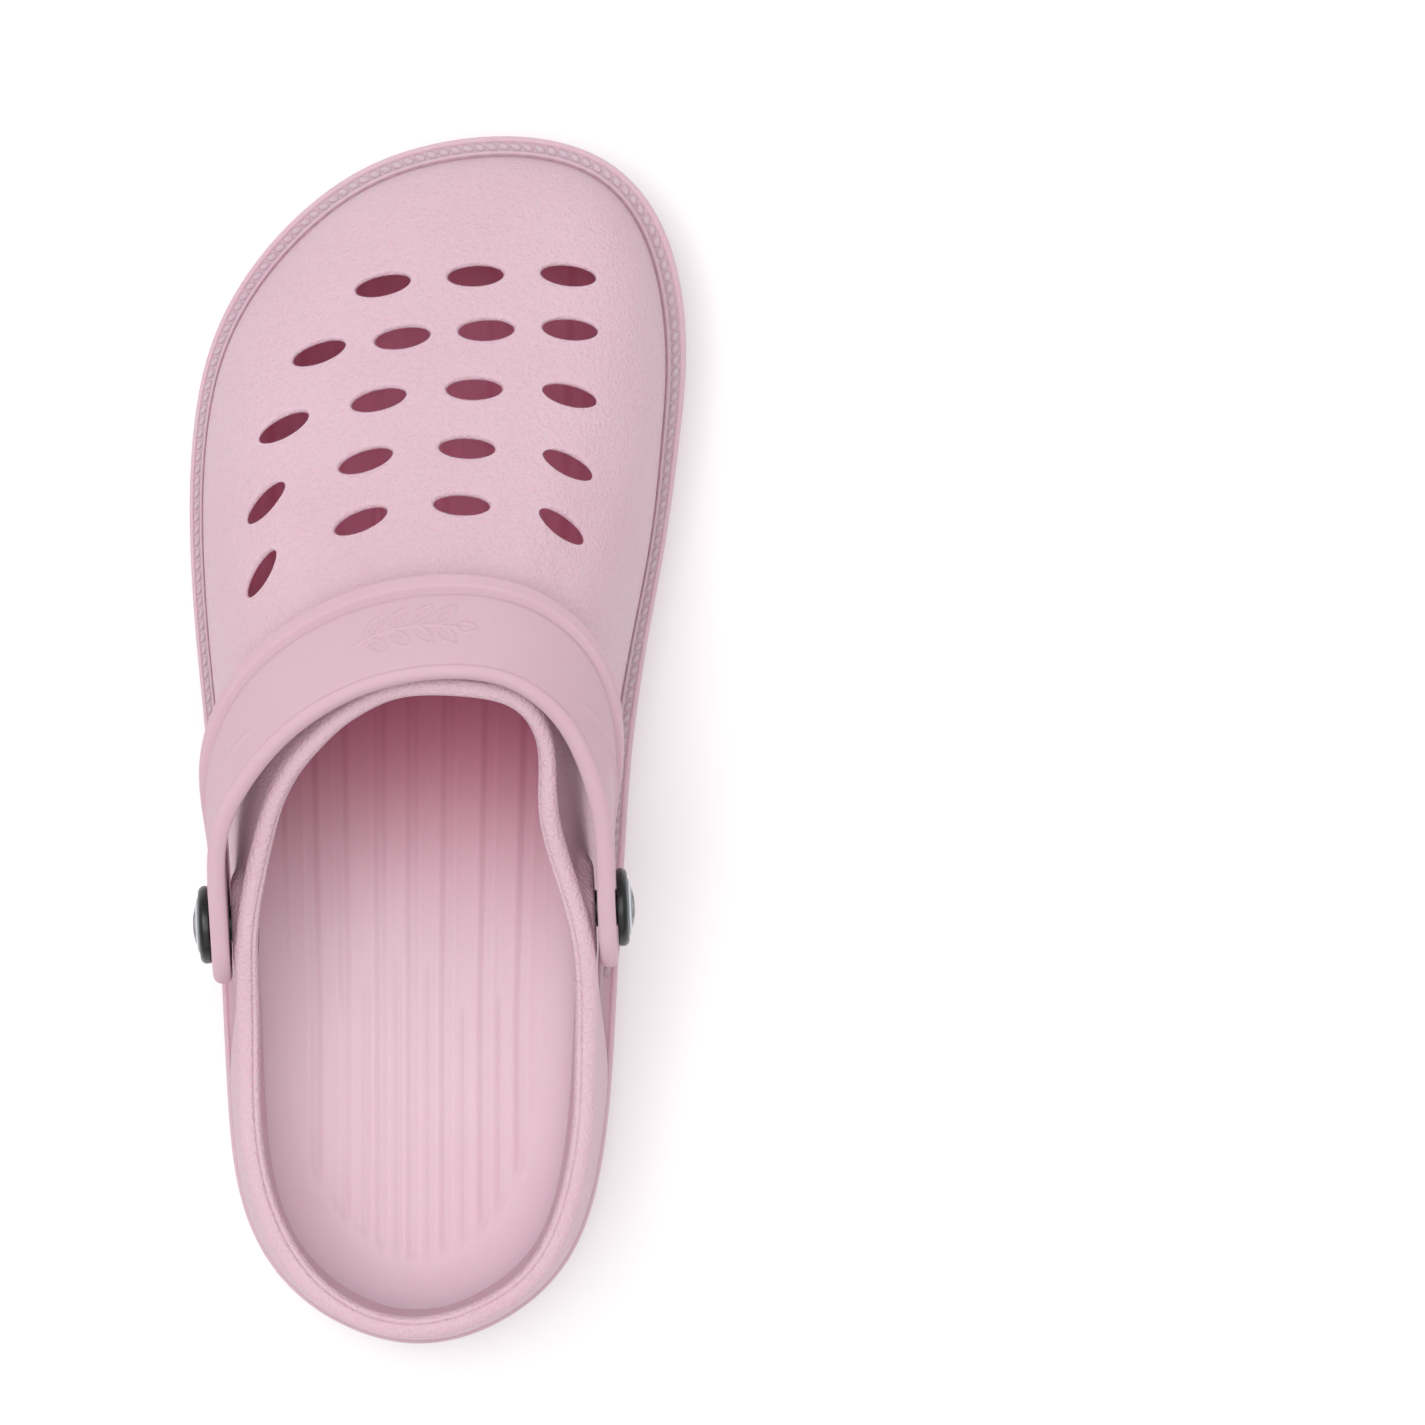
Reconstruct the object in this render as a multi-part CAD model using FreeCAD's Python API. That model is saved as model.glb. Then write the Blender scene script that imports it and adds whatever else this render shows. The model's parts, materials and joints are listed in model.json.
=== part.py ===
"""Foam garden clog, left shoe: sole, upper, ribbed footbed, turning heel strap and two snap rivets.

Millimetres. +Y points to the toe, -X to the outer (lateral) side of the foot and +Z up. The shoe
stands on z = 0 and the middle of its box is at x = 0, y = 0. One STEP file is written per piece.
"""
import FreeCAD, Part
import math
import os

V = FreeCAD.Vector

# ---- driving dimensions -------------------------------------------------------------------------
WALL = 5.0                 # foam thickness of the side wall at its foot
RIM = 4.0                  # thickness of the collar rim
VAMP_WALL = 4.5            # foam thickness on top of the toes
RING_COUNT = 9             # cross rings that the upper is lofted through, from foot to collar
RING_POINTS = 2            # points per station on each ring
HALF_SPAN = 80.0           # half the width of the cutters that run right across the shoe
FAR = 60.0                 # beyond every skin, along the pivot line or above the sole
FOOT_DEPTH = 3.0           # how far the wall starts below the flange before it is cut level
FLARE_Y = (-48.0, -76.0)   # behind the pivots the heel's skin spreads over the flange between these places
FLARE_SHORT = 0.75         # and stops this far inside the flange's edge
VAMP_SHARE = 0.375         # share of the second handle on top of the toes, where the foam is VAMP_WALL thick

# Stations run round the shoe from the back of the heel, by the inner side, the toe and the outer
# side. Each one is a line up the wall: foot x, foot y, width of the sole flange outside it,
# collar x, y, z, rise of the wall before it turns in, share and height of the second handle, and
# how far the foam's thickness at the collar is tipped from level, in degrees.
STATIONS = [
    (-5.5, -129.0, 3.5, -6.0, -129.6, 62.0, 12.0, 1.00, 50.0, 0.0),
    (15.0, -122.4, 3.8, 14.5, -123.8, 61.5, 12.0, 1.00, 50.0, 0.0),
    (27.4, -108.0, 3.9, 27.4, -110.0, 60.0, 12.0, 1.00, 49.0, 0.0),
    (32.6, -87.5, 4.0, 33.4, -88.0, 57.5, 11.0, 1.00, 47.0, 0.0),
    (34.3, -66.0, 4.2, 34.5, -67.0, 58.0, 11.0, 1.00, 47.0, 0.0),
    (35.2, -45.0, 4.4, 34.0, -46.0, 66.0, 13.0, 0.95, 53.0, 10.0),
    (36.6, -22.0, 4.4, 29.6, -29.0, 71.5, 17.0, 0.85, 59.0, 22.0),
    (38.6, 0.0, 4.1, 26.0, -16.5, 78.0, 22.0, 0.70, 64.0, 35.0),
    (42.6, 23.5, 3.5, 25.3, -6.5, 83.0, 26.0, 0.60, 64.5, 48.0),
    (46.6, 45.0, 3.4, 24.2, 0.8, 86.5, 29.0, 0.50, 63.5, 56.0),
    (48.9, 66.0, 3.9, 21.2, 6.2, 89.5, 31.0, 0.42, 60.5, 60.0),
    (49.8, 86.5, 4.5, 16.6, 9.6, 91.4, 31.5, 0.40, 55.0, 60.0),
    (46.2, 107.5, 4.7, 11.0, 11.1, 92.5, 32.0, 0.38, 52.0, 60.0),
    (35.6, 122.6, 4.4, 5.5, 11.7, 92.9, 31.0, 0.375, 47.0, 60.0),
    (17.8, 128.1, 4.3, 0.0, 11.9, 93.0, 30.0, 0.375, 46.0, 60.0),
    (-2.0, 126.2, 4.3, -5.5, 11.6, 92.8, 31.0, 0.375, 47.0, 60.0),
    (-19.6, 118.8, 4.2, -11.0, 10.2, 92.2, 32.0, 0.38, 50.0, 60.0),
    (-35.2, 104.9, 4.0, -16.6, 7.4, 91.0, 33.0, 0.39, 55.0, 60.0),
    (-45.6, 88.6, 3.6, -21.6, 3.9, 89.3, 34.0, 0.41, 61.0, 60.0),
    (-50.4, 71.5, 3.2, -26.6, -0.7, 87.0, 33.0, 0.46, 63.5, 56.0),
    (-51.9, 52.0, 3.0, -31.2, -6.0, 84.0, 30.0, 0.52, 66.0, 52.0),
    (-51.2, 30.0, 2.9, -35.2, -13.0, 80.0, 26.0, 0.65, 67.0, 46.0),
    (-49.2, 8.0, 2.9, -38.2, -21.5, 75.5, 22.0, 0.75, 63.0, 35.0),
    (-47.0, -14.0, 3.0, -40.8, -31.5, 71.0, 17.0, 0.85, 59.0, 22.0),
    (-45.4, -37.0, 3.2, -42.6, -44.0, 67.0, 13.0, 0.95, 54.0, 10.0),
    (-43.7, -60.0, 3.7, -42.7, -62.0, 58.2, 11.0, 1.00, 47.0, 0.0),
    (-42.4, -83.0, 3.7, -42.3, -83.5, 57.0, 11.0, 1.00, 46.0, 0.0),
    (-38.7, -103.3, 3.8, -38.0, -104.0, 58.5, 12.0, 1.00, 48.0, 0.0),
    (-27.0, -120.3, 3.7, -26.0, -121.6, 61.0, 12.0, 1.00, 50.0, 0.0),
]

# Side profiles of the sole, heel to toe, as y, z.
FLANGE_TOP = [(-140, 31), (-110, 28.5), (-70, 26.5), (-20, 24.5), (40, 23.5), (85, 24.5), (115, 27), (140, 31)]
SOLE_FLAT = (-104.0, 68.0)  # the part of the underside that lies on the ground
HEEL_LIFT = [(-120, 0.9), (-140, 4.6)]
TOE_LIFT = [(88, 1.0), (112, 4.0), (140, 10.2)]
BED_TOP = [(-140, 33), (-118, 29.5), (-85, 27.5), (-35, 26), (10, 22.5), (50, 19.5), (85, 19.5), (112, 22), (140, 26)]
BED_THICKNESS = 6.5
BED_GAP = 0.2              # all round the footbed
SOLE_TUCK = 4.5            # how far the side of the sole draws in at the ground
SOLE_BULGE_Z = 12.0
SOLE_BULGE_TUCK = 1.2
SOLE_TOP_Z = (24.0, 45.0)  # the side of the sole stands upright between these heights

# Tread: arcs struck from a point beyond the heel and one beyond the toe, inside a plain border.
TREAD_DEPTH = 2.5
TREAD_WIDTH = 3.2
TREAD_BORDER = 10.0
CUT_BASE = -12.0           # level below the sole where its cutters start
TREAD_HEEL = (-5.0, -190.0, [92, 104, 116, 128, 140])
TREAD_TOE = (8.0, 190.0, [82, 95, 108, 121, 134, 147, 160])

# Vent slots, row by row from the toe: first and last slot centre, how many, bow of the row.
VENT_LENGTH = 12.2
VENT_WIDTH = 4.8
VENT_TURN = 1.25           # how much more a slot turns than its row
VENT_REACH = (12.0, 8.0)   # length of a slot's cutter under and over the skin
PROBE = 2.0                # step for finding the skin's slope
VENT_ROWS = [
    ((28.8, 101.5), (-11.8, 99.3), 3, 1.0),
    ((29.2, 89.6), (-25.7, 84.5), 4, 1.7),
    ((29.2, 75.1), (-33.3, 68.2), 4, 4.1),
    ((29.0, 59.9), (-37.3, 51.7), 4, 7.2),
    ((27.8, 46.5), (-38.1, 36.2), 4, 9.1),
]

# The strap turns about the line through both rivets. Distances along that line are measured from
# PIVOT_MID, and the strap is a U in the plane that holds the line and climbs STRAP_REST forward.
PIVOT_MID = V(-4.8, -38.25, 57.0)
PIVOT_SKEW = 2.44
STRAP_REST = 29.2
STRAP_PATH = [(-42.1, 0), (-42.1, 14), (-41.9, 27), (-37.7, 42), (-28.5, 55.5), (-12, 67),
              (8, 71.4), (25, 68.2), (36.9, 57), (42.0, 42), (43.0, 27), (42.2, 13), (42.1, 0)]
STRAP_LEAN = [0, 0, 4, 15, 24, 29, 31, 29, 23, 14, 5, 0, 0]
STRAP_HALF_WIDTH = 12.6
STRAP_THICK = 4.0
BOSS_RADIUS = 13.0
BOSS_THICK = 4.2
BOSS_ROOM = 0.8            # clear ring round the boss in the flat on the wall
WALL_AT_PIVOT = 39.5       # outer face of the shell wall, along the pivot line
SEAT_AT_PIVOT = 35.6       # flat inside the wall for the rivet's inner head
SEAT_RADIUS = 9.0
HOLE_START = 20.0          # inside every wall, along the pivot line
STRAP_SECTIONS = 25

# Snap rivet: lengths run outwards from the strap's outer face.
STEM_RADIUS = 4.0
PIVOT_FIT = 0.05           # radial clearance of every running and snap fit on the pivot line
CAP_RADIUS = 8.5
CAP_HEIGHT = 2.5
CAP_ROUND = [(1.2, 0.0), (2.1, 0.6)]  # cap's edge: height and draw-in
CAP_BEZEL = 1.4
CAP_BORE_END = 1.0         # the stem's bore stops this far under the cap
CAP_LIFT = 0.1
EMBLEM_RADIUS = 6.4
EMBLEM_FLOOR = 1.5
EMBLEM_CROWN = 1.3
EMBLEM_STEPS = 5
POST_RADIUS = 2.2
POST_HEAD_RADIUS = 8.0
POST_HEAD_THICK = 1.6
POST_EDGE = 0.6
POST_SHORT = 1.5           # the post ends this far under the cap
BOSS_FACE = 44.2           # outer face of the strap boss, along the pivot line


# ---- curves -------------------------------------------------------------------------------------
def closed_spline(points):
    """A closed smooth curve through points, one unit of parameter per point."""
    curve = Part.BSplineCurve()
    steps = [float(i) for i in range(len(points) + 1)]
    curve.interpolate(Points=points, PeriodicFlag=True, Parameters=steps)
    return curve


def open_spline(points):
    """A smooth curve through points."""
    curve = Part.BSplineCurve()
    curve.interpolate(Points=points)
    return curve


FOOT = closed_spline([V(s[0], s[1], s[2]) for s in STATIONS])
COLLAR = closed_spline([V(s[3], s[4], s[5]) for s in STATIONS])
FLANGE_CURVE = open_spline([V(0, y, z) for y, z in FLANGE_TOP])


def station_value(column, t):
    """One column of STATIONS between stations: Catmull-Rom cubic, closed round the shoe."""
    count = len(STATIONS)
    i = math.floor(t)
    f = t - i
    a, b, c, d = (STATIONS[(i + k) % count][column] for k in (-1, 0, 1, 2))
    return b + f * ((c - a) + f * ((2 * a - 5 * b + 4 * c - d) + f * (3 * b - a - 3 * c + d))) / 2


def flange_z(y):
    """Height of the sole's flange at a place along the shoe."""
    low = FLANGE_CURVE.FirstParameter
    high = FLANGE_CURVE.LastParameter
    for _ in range(40):
        middle = (low + high) / 2
        if FLANGE_CURVE.value(middle).y < y:
            low = middle
        else:
            high = middle
    return FLANGE_CURVE.value(low).z


def outward(curve, t):
    """Level unit vector out of a closed curve that runs anticlockwise."""
    along = curve.tangent(t)[0]
    side = V(along.y, -along.x, 0)
    side.normalize()
    return side


def foot_at(t, out=0.0):
    """Plan point on the wall's foot, moved outwards."""
    p = FOOT.value(t)
    return V(p.x, p.y, 0) + outward(FOOT, t) * out


def flare(t):
    """How far the heel's skin spreads over the flange at t, eased in along the shoe."""
    foot = FOOT.value(t)
    share = min(max((foot.y - FLARE_Y[0]) / (FLARE_Y[1] - FLARE_Y[0]), 0.0), 1.0)
    return (foot.z - FLARE_SHORT) * share * share * (3 - 2 * share)


def wall_line(t, inner):
    """Four handles of the line up the wall at t, on the outside or the inside of the foam."""
    rise, share, height = (station_value(column, t) for column in (6, 7, 8))
    foot = foot_at(t, -WALL if inner else flare(t))
    foot.z = flange_z(foot.y) - FOOT_DEPTH
    collar = COLLAR.value(t)
    drop = 0.0
    if inner:
        tilt = math.radians(station_value(9, t))
        collar = collar - outward(COLLAR, t) * RIM * math.cos(tilt) - V(0, 0, RIM * math.sin(tilt))
        drop = VAMP_WALL * (1 - share) / (1 - VAMP_SHARE)
    first = foot + V(0, 0, rise - drop / 2)
    second = foot + (collar - foot) * share
    second.z = height - drop
    return foot, first, second, collar


def on_line(line, s):
    """Cubic through the four handles."""
    a, b, c, d = line
    r = 1 - s
    return a * r ** 3 + b * (3 * r * r * s) + c * (3 * r * s * s) + d * s ** 3


def ring(s, inner):
    """Closed wire round the upper at height s of its wall lines."""
    count = len(STATIONS) * RING_POINTS
    points = [on_line(wall_line(i / RING_POINTS, inner), s) for i in range(count)]
    return Part.Wire([closed_spline(points).toShape()])


def skin(inner):
    """Open tube from the foot of the wall to the collar."""
    rings = [ring(i / (RING_COUNT - 1), inner) for i in range(RING_COUNT)]
    return Part.makeLoft(rings, False, False)


def edge_of(tube, top):
    """The tube's closed end edge, upper or lower."""
    closed = [e for e in tube.Edges if e.isClosed()]
    closed.sort(key=lambda e: e.BoundBox.ZMax)
    return closed[-1] if top else closed[0]


def solid_of(faces):
    """Sew faces into one closed solid, facing outwards."""
    shell = Part.Shell(faces)
    shell.sewShape(1e-3)
    solid = Part.Solid(shell)
    if solid.Volume < 0:
        solid.reverse()
    return solid


def plan_wire(out, z):
    """Closed level outline of the shoe at height z, moved outwards from the flange's edge."""
    count = len(STATIONS) * RING_POINTS
    points = []
    for i in range(count):
        t = i / RING_POINTS
        p = foot_at(t, FOOT.value(t).z + out)
        points.append(V(p.x, p.y, z))
    return Part.Wire([closed_spline(points).toShape()])


def foot_wire(out, z):
    """Closed level outline that follows the wall's foot, moved outwards."""
    count = len(STATIONS) * RING_POINTS
    points = [foot_at(i / RING_POINTS, out) + V(0, 0, z) for i in range(count)]
    return Part.Wire([closed_spline(points).toShape()])


def slab(curves, z_far):
    """Everything across the shoe between a side profile, heel to toe, and the level z_far."""
    start = curves[0].StartPoint
    end = curves[-1].EndPoint
    corners = [end, V(-HALF_SPAN, end.y, z_far), V(-HALF_SPAN, start.y, z_far), start]
    edges = [curve.toShape() for curve in curves]
    for a, b in zip(corners, corners[1:]):
        edges.append(Part.makeLine(a, b))
    return Part.Face(Part.Wire(edges)).extrude(V(2 * HALF_SPAN, 0, 0))


def profile(points, dz=0.0):
    """Side profile as one smooth curve, moved up or down."""
    return [open_spline([V(-HALF_SPAN, y, z + dz) for y, z in points])]


def under_profile(dz=0.0):
    """Underside of the sole: level in the middle, curling up tangentially at heel and toe."""
    curves = []
    level = V(0, 1, 0)
    for flat_y, lift in ((SOLE_FLAT[0], HEEL_LIFT), (SOLE_FLAT[1], TOE_LIFT)):
        points = [V(-HALF_SPAN, y, z + dz) for y, z in [(flat_y, 0.0)] + lift]
        rise = points[-1] - points[-2]
        rise.normalize()
        curve = Part.BSplineCurve()
        curve.interpolate(Points=points, InitialTangent=level * (1 if lift is TOE_LIFT else -1), FinalTangent=rise)
        curves.append(curve)
    heel, toe = curves
    heel.reverse()
    return [heel, Part.LineSegment(heel.EndPoint, toe.StartPoint), toe]


# ---- sole and footbed ---------------------------------------------------------------------------
def tread():
    """Arc channels in the underside, inside the plain border."""
    cutters = []
    for x, y, radii in (TREAD_HEEL, TREAD_TOE):
        for radius in radii:
            sizes = (radius + TREAD_WIDTH / 2, radius - TREAD_WIDTH / 2)
            outer, inner = (Part.makeCylinder(size, FAR, V(x, y, CUT_BASE)) for size in sizes)
            cutters.append(outer.cut(inner))
    channels = cutters[0].fuse(cutters[1:])
    inside = Part.Face(plan_wire(-TREAD_BORDER - SOLE_TUCK, CUT_BASE)).extrude(V(0, 0, FAR))
    return channels.common(inside).common(slab(under_profile(TREAD_DEPTH), CUT_BASE))


def outsole():
    """Foam sole with its flange, hollowed for the footbed."""
    rings = [plan_wire(-SOLE_TUCK, -2), plan_wire(-SOLE_BULGE_TUCK, SOLE_BULGE_Z)]
    rings += [plan_wire(0, z) for z in SOLE_TOP_Z]
    body = Part.makeLoft(rings, True, False)
    body = body.cut(slab(profile(FLANGE_TOP), FAR)).cut(slab(under_profile(), CUT_BASE))
    well = Part.Face(foot_wire(-WALL, 0)).extrude(V(0, 0, FAR))
    well = well.common(slab(profile(BED_TOP, -BED_THICKNESS), FAR))
    return body.cut(well).cut(tread())


def footbed():
    """Insole bed that fills the well."""
    body = Part.Face(foot_wire(-WALL - BED_GAP, 0)).extrude(V(0, 0, FAR))
    body = body.common(slab(profile(BED_TOP, -BED_THICKNESS), FAR))
    return body.cut(slab(profile(BED_TOP), FAR))


# ---- pivot line ---------------------------------------------------------------------------------
SKEW = math.radians(PIVOT_SKEW)
ALONG = V(math.cos(SKEW), math.sin(SKEW), 0)
AHEAD = V(-math.sin(SKEW), math.cos(SKEW), 0)
CLIMB = math.radians(STRAP_REST)
REACH = AHEAD * math.cos(CLIMB) + V(0, 0, math.sin(CLIMB))
ACROSS = V(0, 0, math.cos(CLIMB)) - AHEAD * math.sin(CLIMB)


def on_pivot(side, distance):
    """Point on the pivot line; side is -1 for the outer side of the foot and +1 for the inner."""
    return PIVOT_MID + ALONG * (side * distance)


def disc(side, start, end, radius):
    """Cylinder on the pivot line between two distances from its middle."""
    low, high = min(start, end), max(start, end)
    return Part.makeCylinder(radius, high - low, on_pivot(side, low), ALONG * side)


# ---- upper --------------------------------------------------------------------------------------
def vent_places():
    """Plan centre and turn of every slot, row by row."""
    places = []
    for first, last, count, bow in VENT_ROWS:
        for i in range(count):
            s = i / (count - 1)
            x = first[0] + (last[0] - first[0]) * s
            y = first[1] + (last[1] - first[1]) * s + 4 * bow * s * (1 - s)
            slope = ((last[1] - first[1]) + 4 * bow * (1 - 2 * s)) / (last[0] - first[0])
            places.append((x, y, math.atan(VENT_TURN * slope)))
    return places


def height_on(body, x, y):
    """Top of a solid above a plan point."""
    hit = body.common(Part.makeLine(V(x, y, SOLE_TOP_Z[0]), V(x, y, 2 * FAR)))
    return V(x, y, hit.BoundBox.ZMax)


def vent_cutter(body, x, y, turn):
    """Plug with an ellipse level with the skin, cut straight down as the mould's cores leave it."""
    here = height_on(body, x, y)
    step_x = height_on(body, x + PROBE, y) - height_on(body, x - PROBE, y)
    step_y = height_on(body, x, y + PROBE) - height_on(body, x, y - PROBE)
    normal = step_x.cross(step_y)
    normal.normalize()
    long_way = V(math.cos(turn), math.sin(turn), 0)
    long_way = long_way - normal * long_way.dot(normal)
    long_way.normalize()
    short_way = normal.cross(long_way)
    base = here - V(0, 0, VENT_REACH[0])
    tip = base + long_way * (VENT_LENGTH / 2)
    flank = base + short_way * (VENT_WIDTH / 2)
    ellipse = Part.Ellipse(tip, flank, base).toShape()
    return Part.Face(Part.Wire([ellipse])).extrude(V(0, 0, sum(VENT_REACH)))


def upper_shell():
    """Foam upper: toe box, side walls, heel and collar, with vents and pivot holes."""
    outer = skin(False)
    inner = skin(True)
    faces = list(outer.Faces) + list(inner.Faces)
    for top in (True, False):
        faces += Part.makeRuledSurface(edge_of(outer, top), edge_of(inner, top)).Faces
    body = solid_of(faces)
    plugs = [vent_cutter(body, x, y, turn) for x, y, turn in vent_places()]
    body = body.cut(slab(profile(FLANGE_TOP), CUT_BASE))
    for plug in plugs:
        body = body.cut(plug)
    for side in (-1, 1):
        body = body.cut(disc(side, HOLE_START, FAR, STEM_RADIUS + PIVOT_FIT))
        body = body.cut(disc(side, WALL_AT_PIVOT, FAR, BOSS_RADIUS + BOSS_ROOM))
        body = body.cut(disc(side, HOLE_START, SEAT_AT_PIVOT, SEAT_RADIUS))
    return body


# ---- strap --------------------------------------------------------------------------------------
PATH = open_spline([V(a, b, 0) for a, b in STRAP_PATH])
LEAN = open_spline([V(i, lean, 0) for i, lean in enumerate(STRAP_LEAN)])


def strap_section(share):
    """Closed four-sided wire across the strap at a share of its length."""
    t = PATH.FirstParameter + share * (PATH.LastParameter - PATH.FirstParameter)
    p = PATH.value(t)
    along = PATH.tangent(t)[0]
    lean_t = LEAN.FirstParameter + share * (LEAN.LastParameter - LEAN.FirstParameter)
    lean = math.radians(max(LEAN.value(lean_t).y, 0))
    centre = PIVOT_MID + ALONG * p.x + REACH * p.y
    out = REACH * along.x - ALONG * along.y
    out.normalize()
    wide = ACROSS * math.cos(lean) - out * math.sin(lean)
    thick = out * math.cos(lean) + ACROSS * math.sin(lean)
    corners = []
    for w, h in ((-1, 1), (1, 1), (1, -1), (-1, -1), (-1, 1)):
        corners.append(centre + wide * (w * STRAP_HALF_WIDTH) + thick * (h * STRAP_THICK / 2))
    return Part.makePolygon(corners)


def heel_strap():
    """Foam strap: a U-shaped band with a round boss at each end."""
    sections = [strap_section(i / (STRAP_SECTIONS - 1)) for i in range(STRAP_SECTIONS)]
    band = Part.makeLoft(sections, True, False)
    for side in (-1, 1):
        boss = disc(side, BOSS_FACE - BOSS_THICK, BOSS_FACE, BOSS_RADIUS)
        band = band.fuse(boss)
    for side in (-1, 1):
        band = band.cut(disc(side, HOLE_START, FAR, STEM_RADIUS + PIVOT_FIT))
    return band


# ---- rivets -------------------------------------------------------------------------------------
def turned(side, outline):
    """Solid of revolution about the pivot line from distance, radius points."""
    centre = on_pivot(side, 0)
    up = V(0, 0, 1)
    points = [centre + ALONG * (side * d) + up * r for d, r in outline]
    face = Part.Face(Part.makePolygon(points + points[:1]))
    return face.revolve(centre, ALONG, 360)


def rivet_cap(side):
    """Outer half: round cap with a recess for the emblem and a hollow stem through strap and wall."""
    base = BOSS_FACE + CAP_LIFT
    end = SEAT_AT_PIVOT + PIVOT_FIT
    bore = POST_RADIUS + PIVOT_FIT
    recess = EMBLEM_RADIUS + PIVOT_FIT
    bore_end = base - CAP_BORE_END
    outline = [(end, bore), (end, STEM_RADIUS), (base, STEM_RADIUS), (base, CAP_RADIUS)]
    outline += [(base + height, CAP_RADIUS - inset) for height, inset in CAP_ROUND]
    outline += [(base + CAP_HEIGHT, CAP_RADIUS - CAP_BEZEL), (base + CAP_HEIGHT, recess), (base + EMBLEM_FLOOR, recess),
                (base + EMBLEM_FLOOR, 0), (bore_end, 0), (bore_end, bore)]
    return turned(side, outline)


def rivet_emblem(side):
    """Domed disc in the cap's recess."""
    floor = BOSS_FACE + CAP_LIFT + EMBLEM_FLOOR
    edge = BOSS_FACE + CAP_LIFT + CAP_HEIGHT
    outline = [(floor, 0), (floor, EMBLEM_RADIUS), (edge, EMBLEM_RADIUS)]
    for i in range(1, EMBLEM_STEPS + 1):
        radius = EMBLEM_RADIUS * (1 - i / EMBLEM_STEPS)
        outline.append((edge + EMBLEM_CROWN * (1 - (radius / EMBLEM_RADIUS) ** 2), radius))
    return turned(side, outline)


def rivet_post(side):
    """Inner half: flat head against the inside of the wall and a shaft snapped into the stem."""
    seat = SEAT_AT_PIVOT - PIVOT_FIT
    back = seat - POST_HEAD_THICK
    tip = BOSS_FACE + CAP_LIFT - POST_SHORT
    outline = [(back, 0), (back, POST_HEAD_RADIUS - POST_EDGE), (back + POST_EDGE, POST_HEAD_RADIUS),
               (seat, POST_HEAD_RADIUS), (seat, POST_RADIUS), (tip, POST_RADIUS), (tip, 0)]
    return turned(side, outline)


# ---- all pieces ---------------------------------------------------------------------------------
PIECES = {
    "outsole": outsole(),
    "footbed": footbed(),
    "upper_shell": upper_shell(),
    "heel_strap": heel_strap(),
}
for side_name, side_sign in (("lateral", -1), ("medial", 1)):
    PIECES["rivet_cap_" + side_name] = rivet_cap(side_sign)
    PIECES["rivet_emblem_" + side_name] = rivet_emblem(side_sign)
    PIECES["rivet_post_" + side_name] = rivet_post(side_sign)

whole = Part.makeCompound(list(PIECES.values())).optimalBoundingBox(False)
shift = V(-(whole.XMin + whole.XMax) / 2, -(whole.YMin + whole.YMax) / 2, -whole.ZMin)
os.makedirs("parts", exist_ok=True)
for name, piece in PIECES.items():
    piece.translate(shift)
    box = piece.optimalBoundingBox(False)
    print(f"{name:22s} valid {piece.isValid()} solids {len(piece.Solids)} volume {piece.Volume / 1000:8.2f} cm3"
          f"  x {box.XMin:.1f}..{box.XMax:.1f} y {box.YMin:.1f}..{box.YMax:.1f} z {box.ZMin:.1f}..{box.ZMax:.1f}")
    piece.exportStep(os.path.join("parts", name + ".step"))
pivot = PIVOT_MID + shift
print("shift", tuple(round(v, 3) for v in shift), "pivot", tuple(round(v, 3) for v in pivot))
print("pivot axis", tuple(round(v, 5) for v in ALONG))
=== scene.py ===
"""Foam garden clog, left shoe: visible pieces, foam and rivet finishes, studio and camera.

Shapes are worked out in millimetres on numpy grids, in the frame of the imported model, and turned to
metres when they are put into a mesh. +Y points to the toe and -X to the outer side of the foot.
"""
import json
import logging
import math
from collections.abc import Iterator
from contextlib import contextmanager
from dataclasses import dataclass, field
from enum import Enum

import bmesh
import bpy
import numpy as np
from bpy.types import ID, Material, Mesh, Node, NodeSocket, NodeTree, Object
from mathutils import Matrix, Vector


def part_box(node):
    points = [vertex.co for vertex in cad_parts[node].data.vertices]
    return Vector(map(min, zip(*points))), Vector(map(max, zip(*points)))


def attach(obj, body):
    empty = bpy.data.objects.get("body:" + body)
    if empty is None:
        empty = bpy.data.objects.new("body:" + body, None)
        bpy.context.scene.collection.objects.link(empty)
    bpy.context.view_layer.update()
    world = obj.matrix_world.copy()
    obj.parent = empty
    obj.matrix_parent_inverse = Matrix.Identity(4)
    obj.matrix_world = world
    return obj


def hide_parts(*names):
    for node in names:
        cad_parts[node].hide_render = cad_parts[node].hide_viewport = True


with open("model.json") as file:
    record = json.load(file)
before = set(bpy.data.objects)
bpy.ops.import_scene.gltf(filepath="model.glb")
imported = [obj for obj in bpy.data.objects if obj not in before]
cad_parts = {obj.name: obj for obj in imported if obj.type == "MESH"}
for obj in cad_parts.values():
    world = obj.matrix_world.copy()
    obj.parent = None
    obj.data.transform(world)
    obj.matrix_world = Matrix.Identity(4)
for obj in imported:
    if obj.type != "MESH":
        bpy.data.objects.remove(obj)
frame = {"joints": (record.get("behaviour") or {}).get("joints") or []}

log = logging.getLogger("clog")
MM = 0.001
QUARTER = math.pi / 2
UP = np.array([0.0, 0.0, 1.0])
HATCH_MM = 2.2      # pitch of the fine hatching on the sole's side
DOUBLES_MM = 0.004  # points closer together than this are merged
TINY_M = 1e-7
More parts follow.
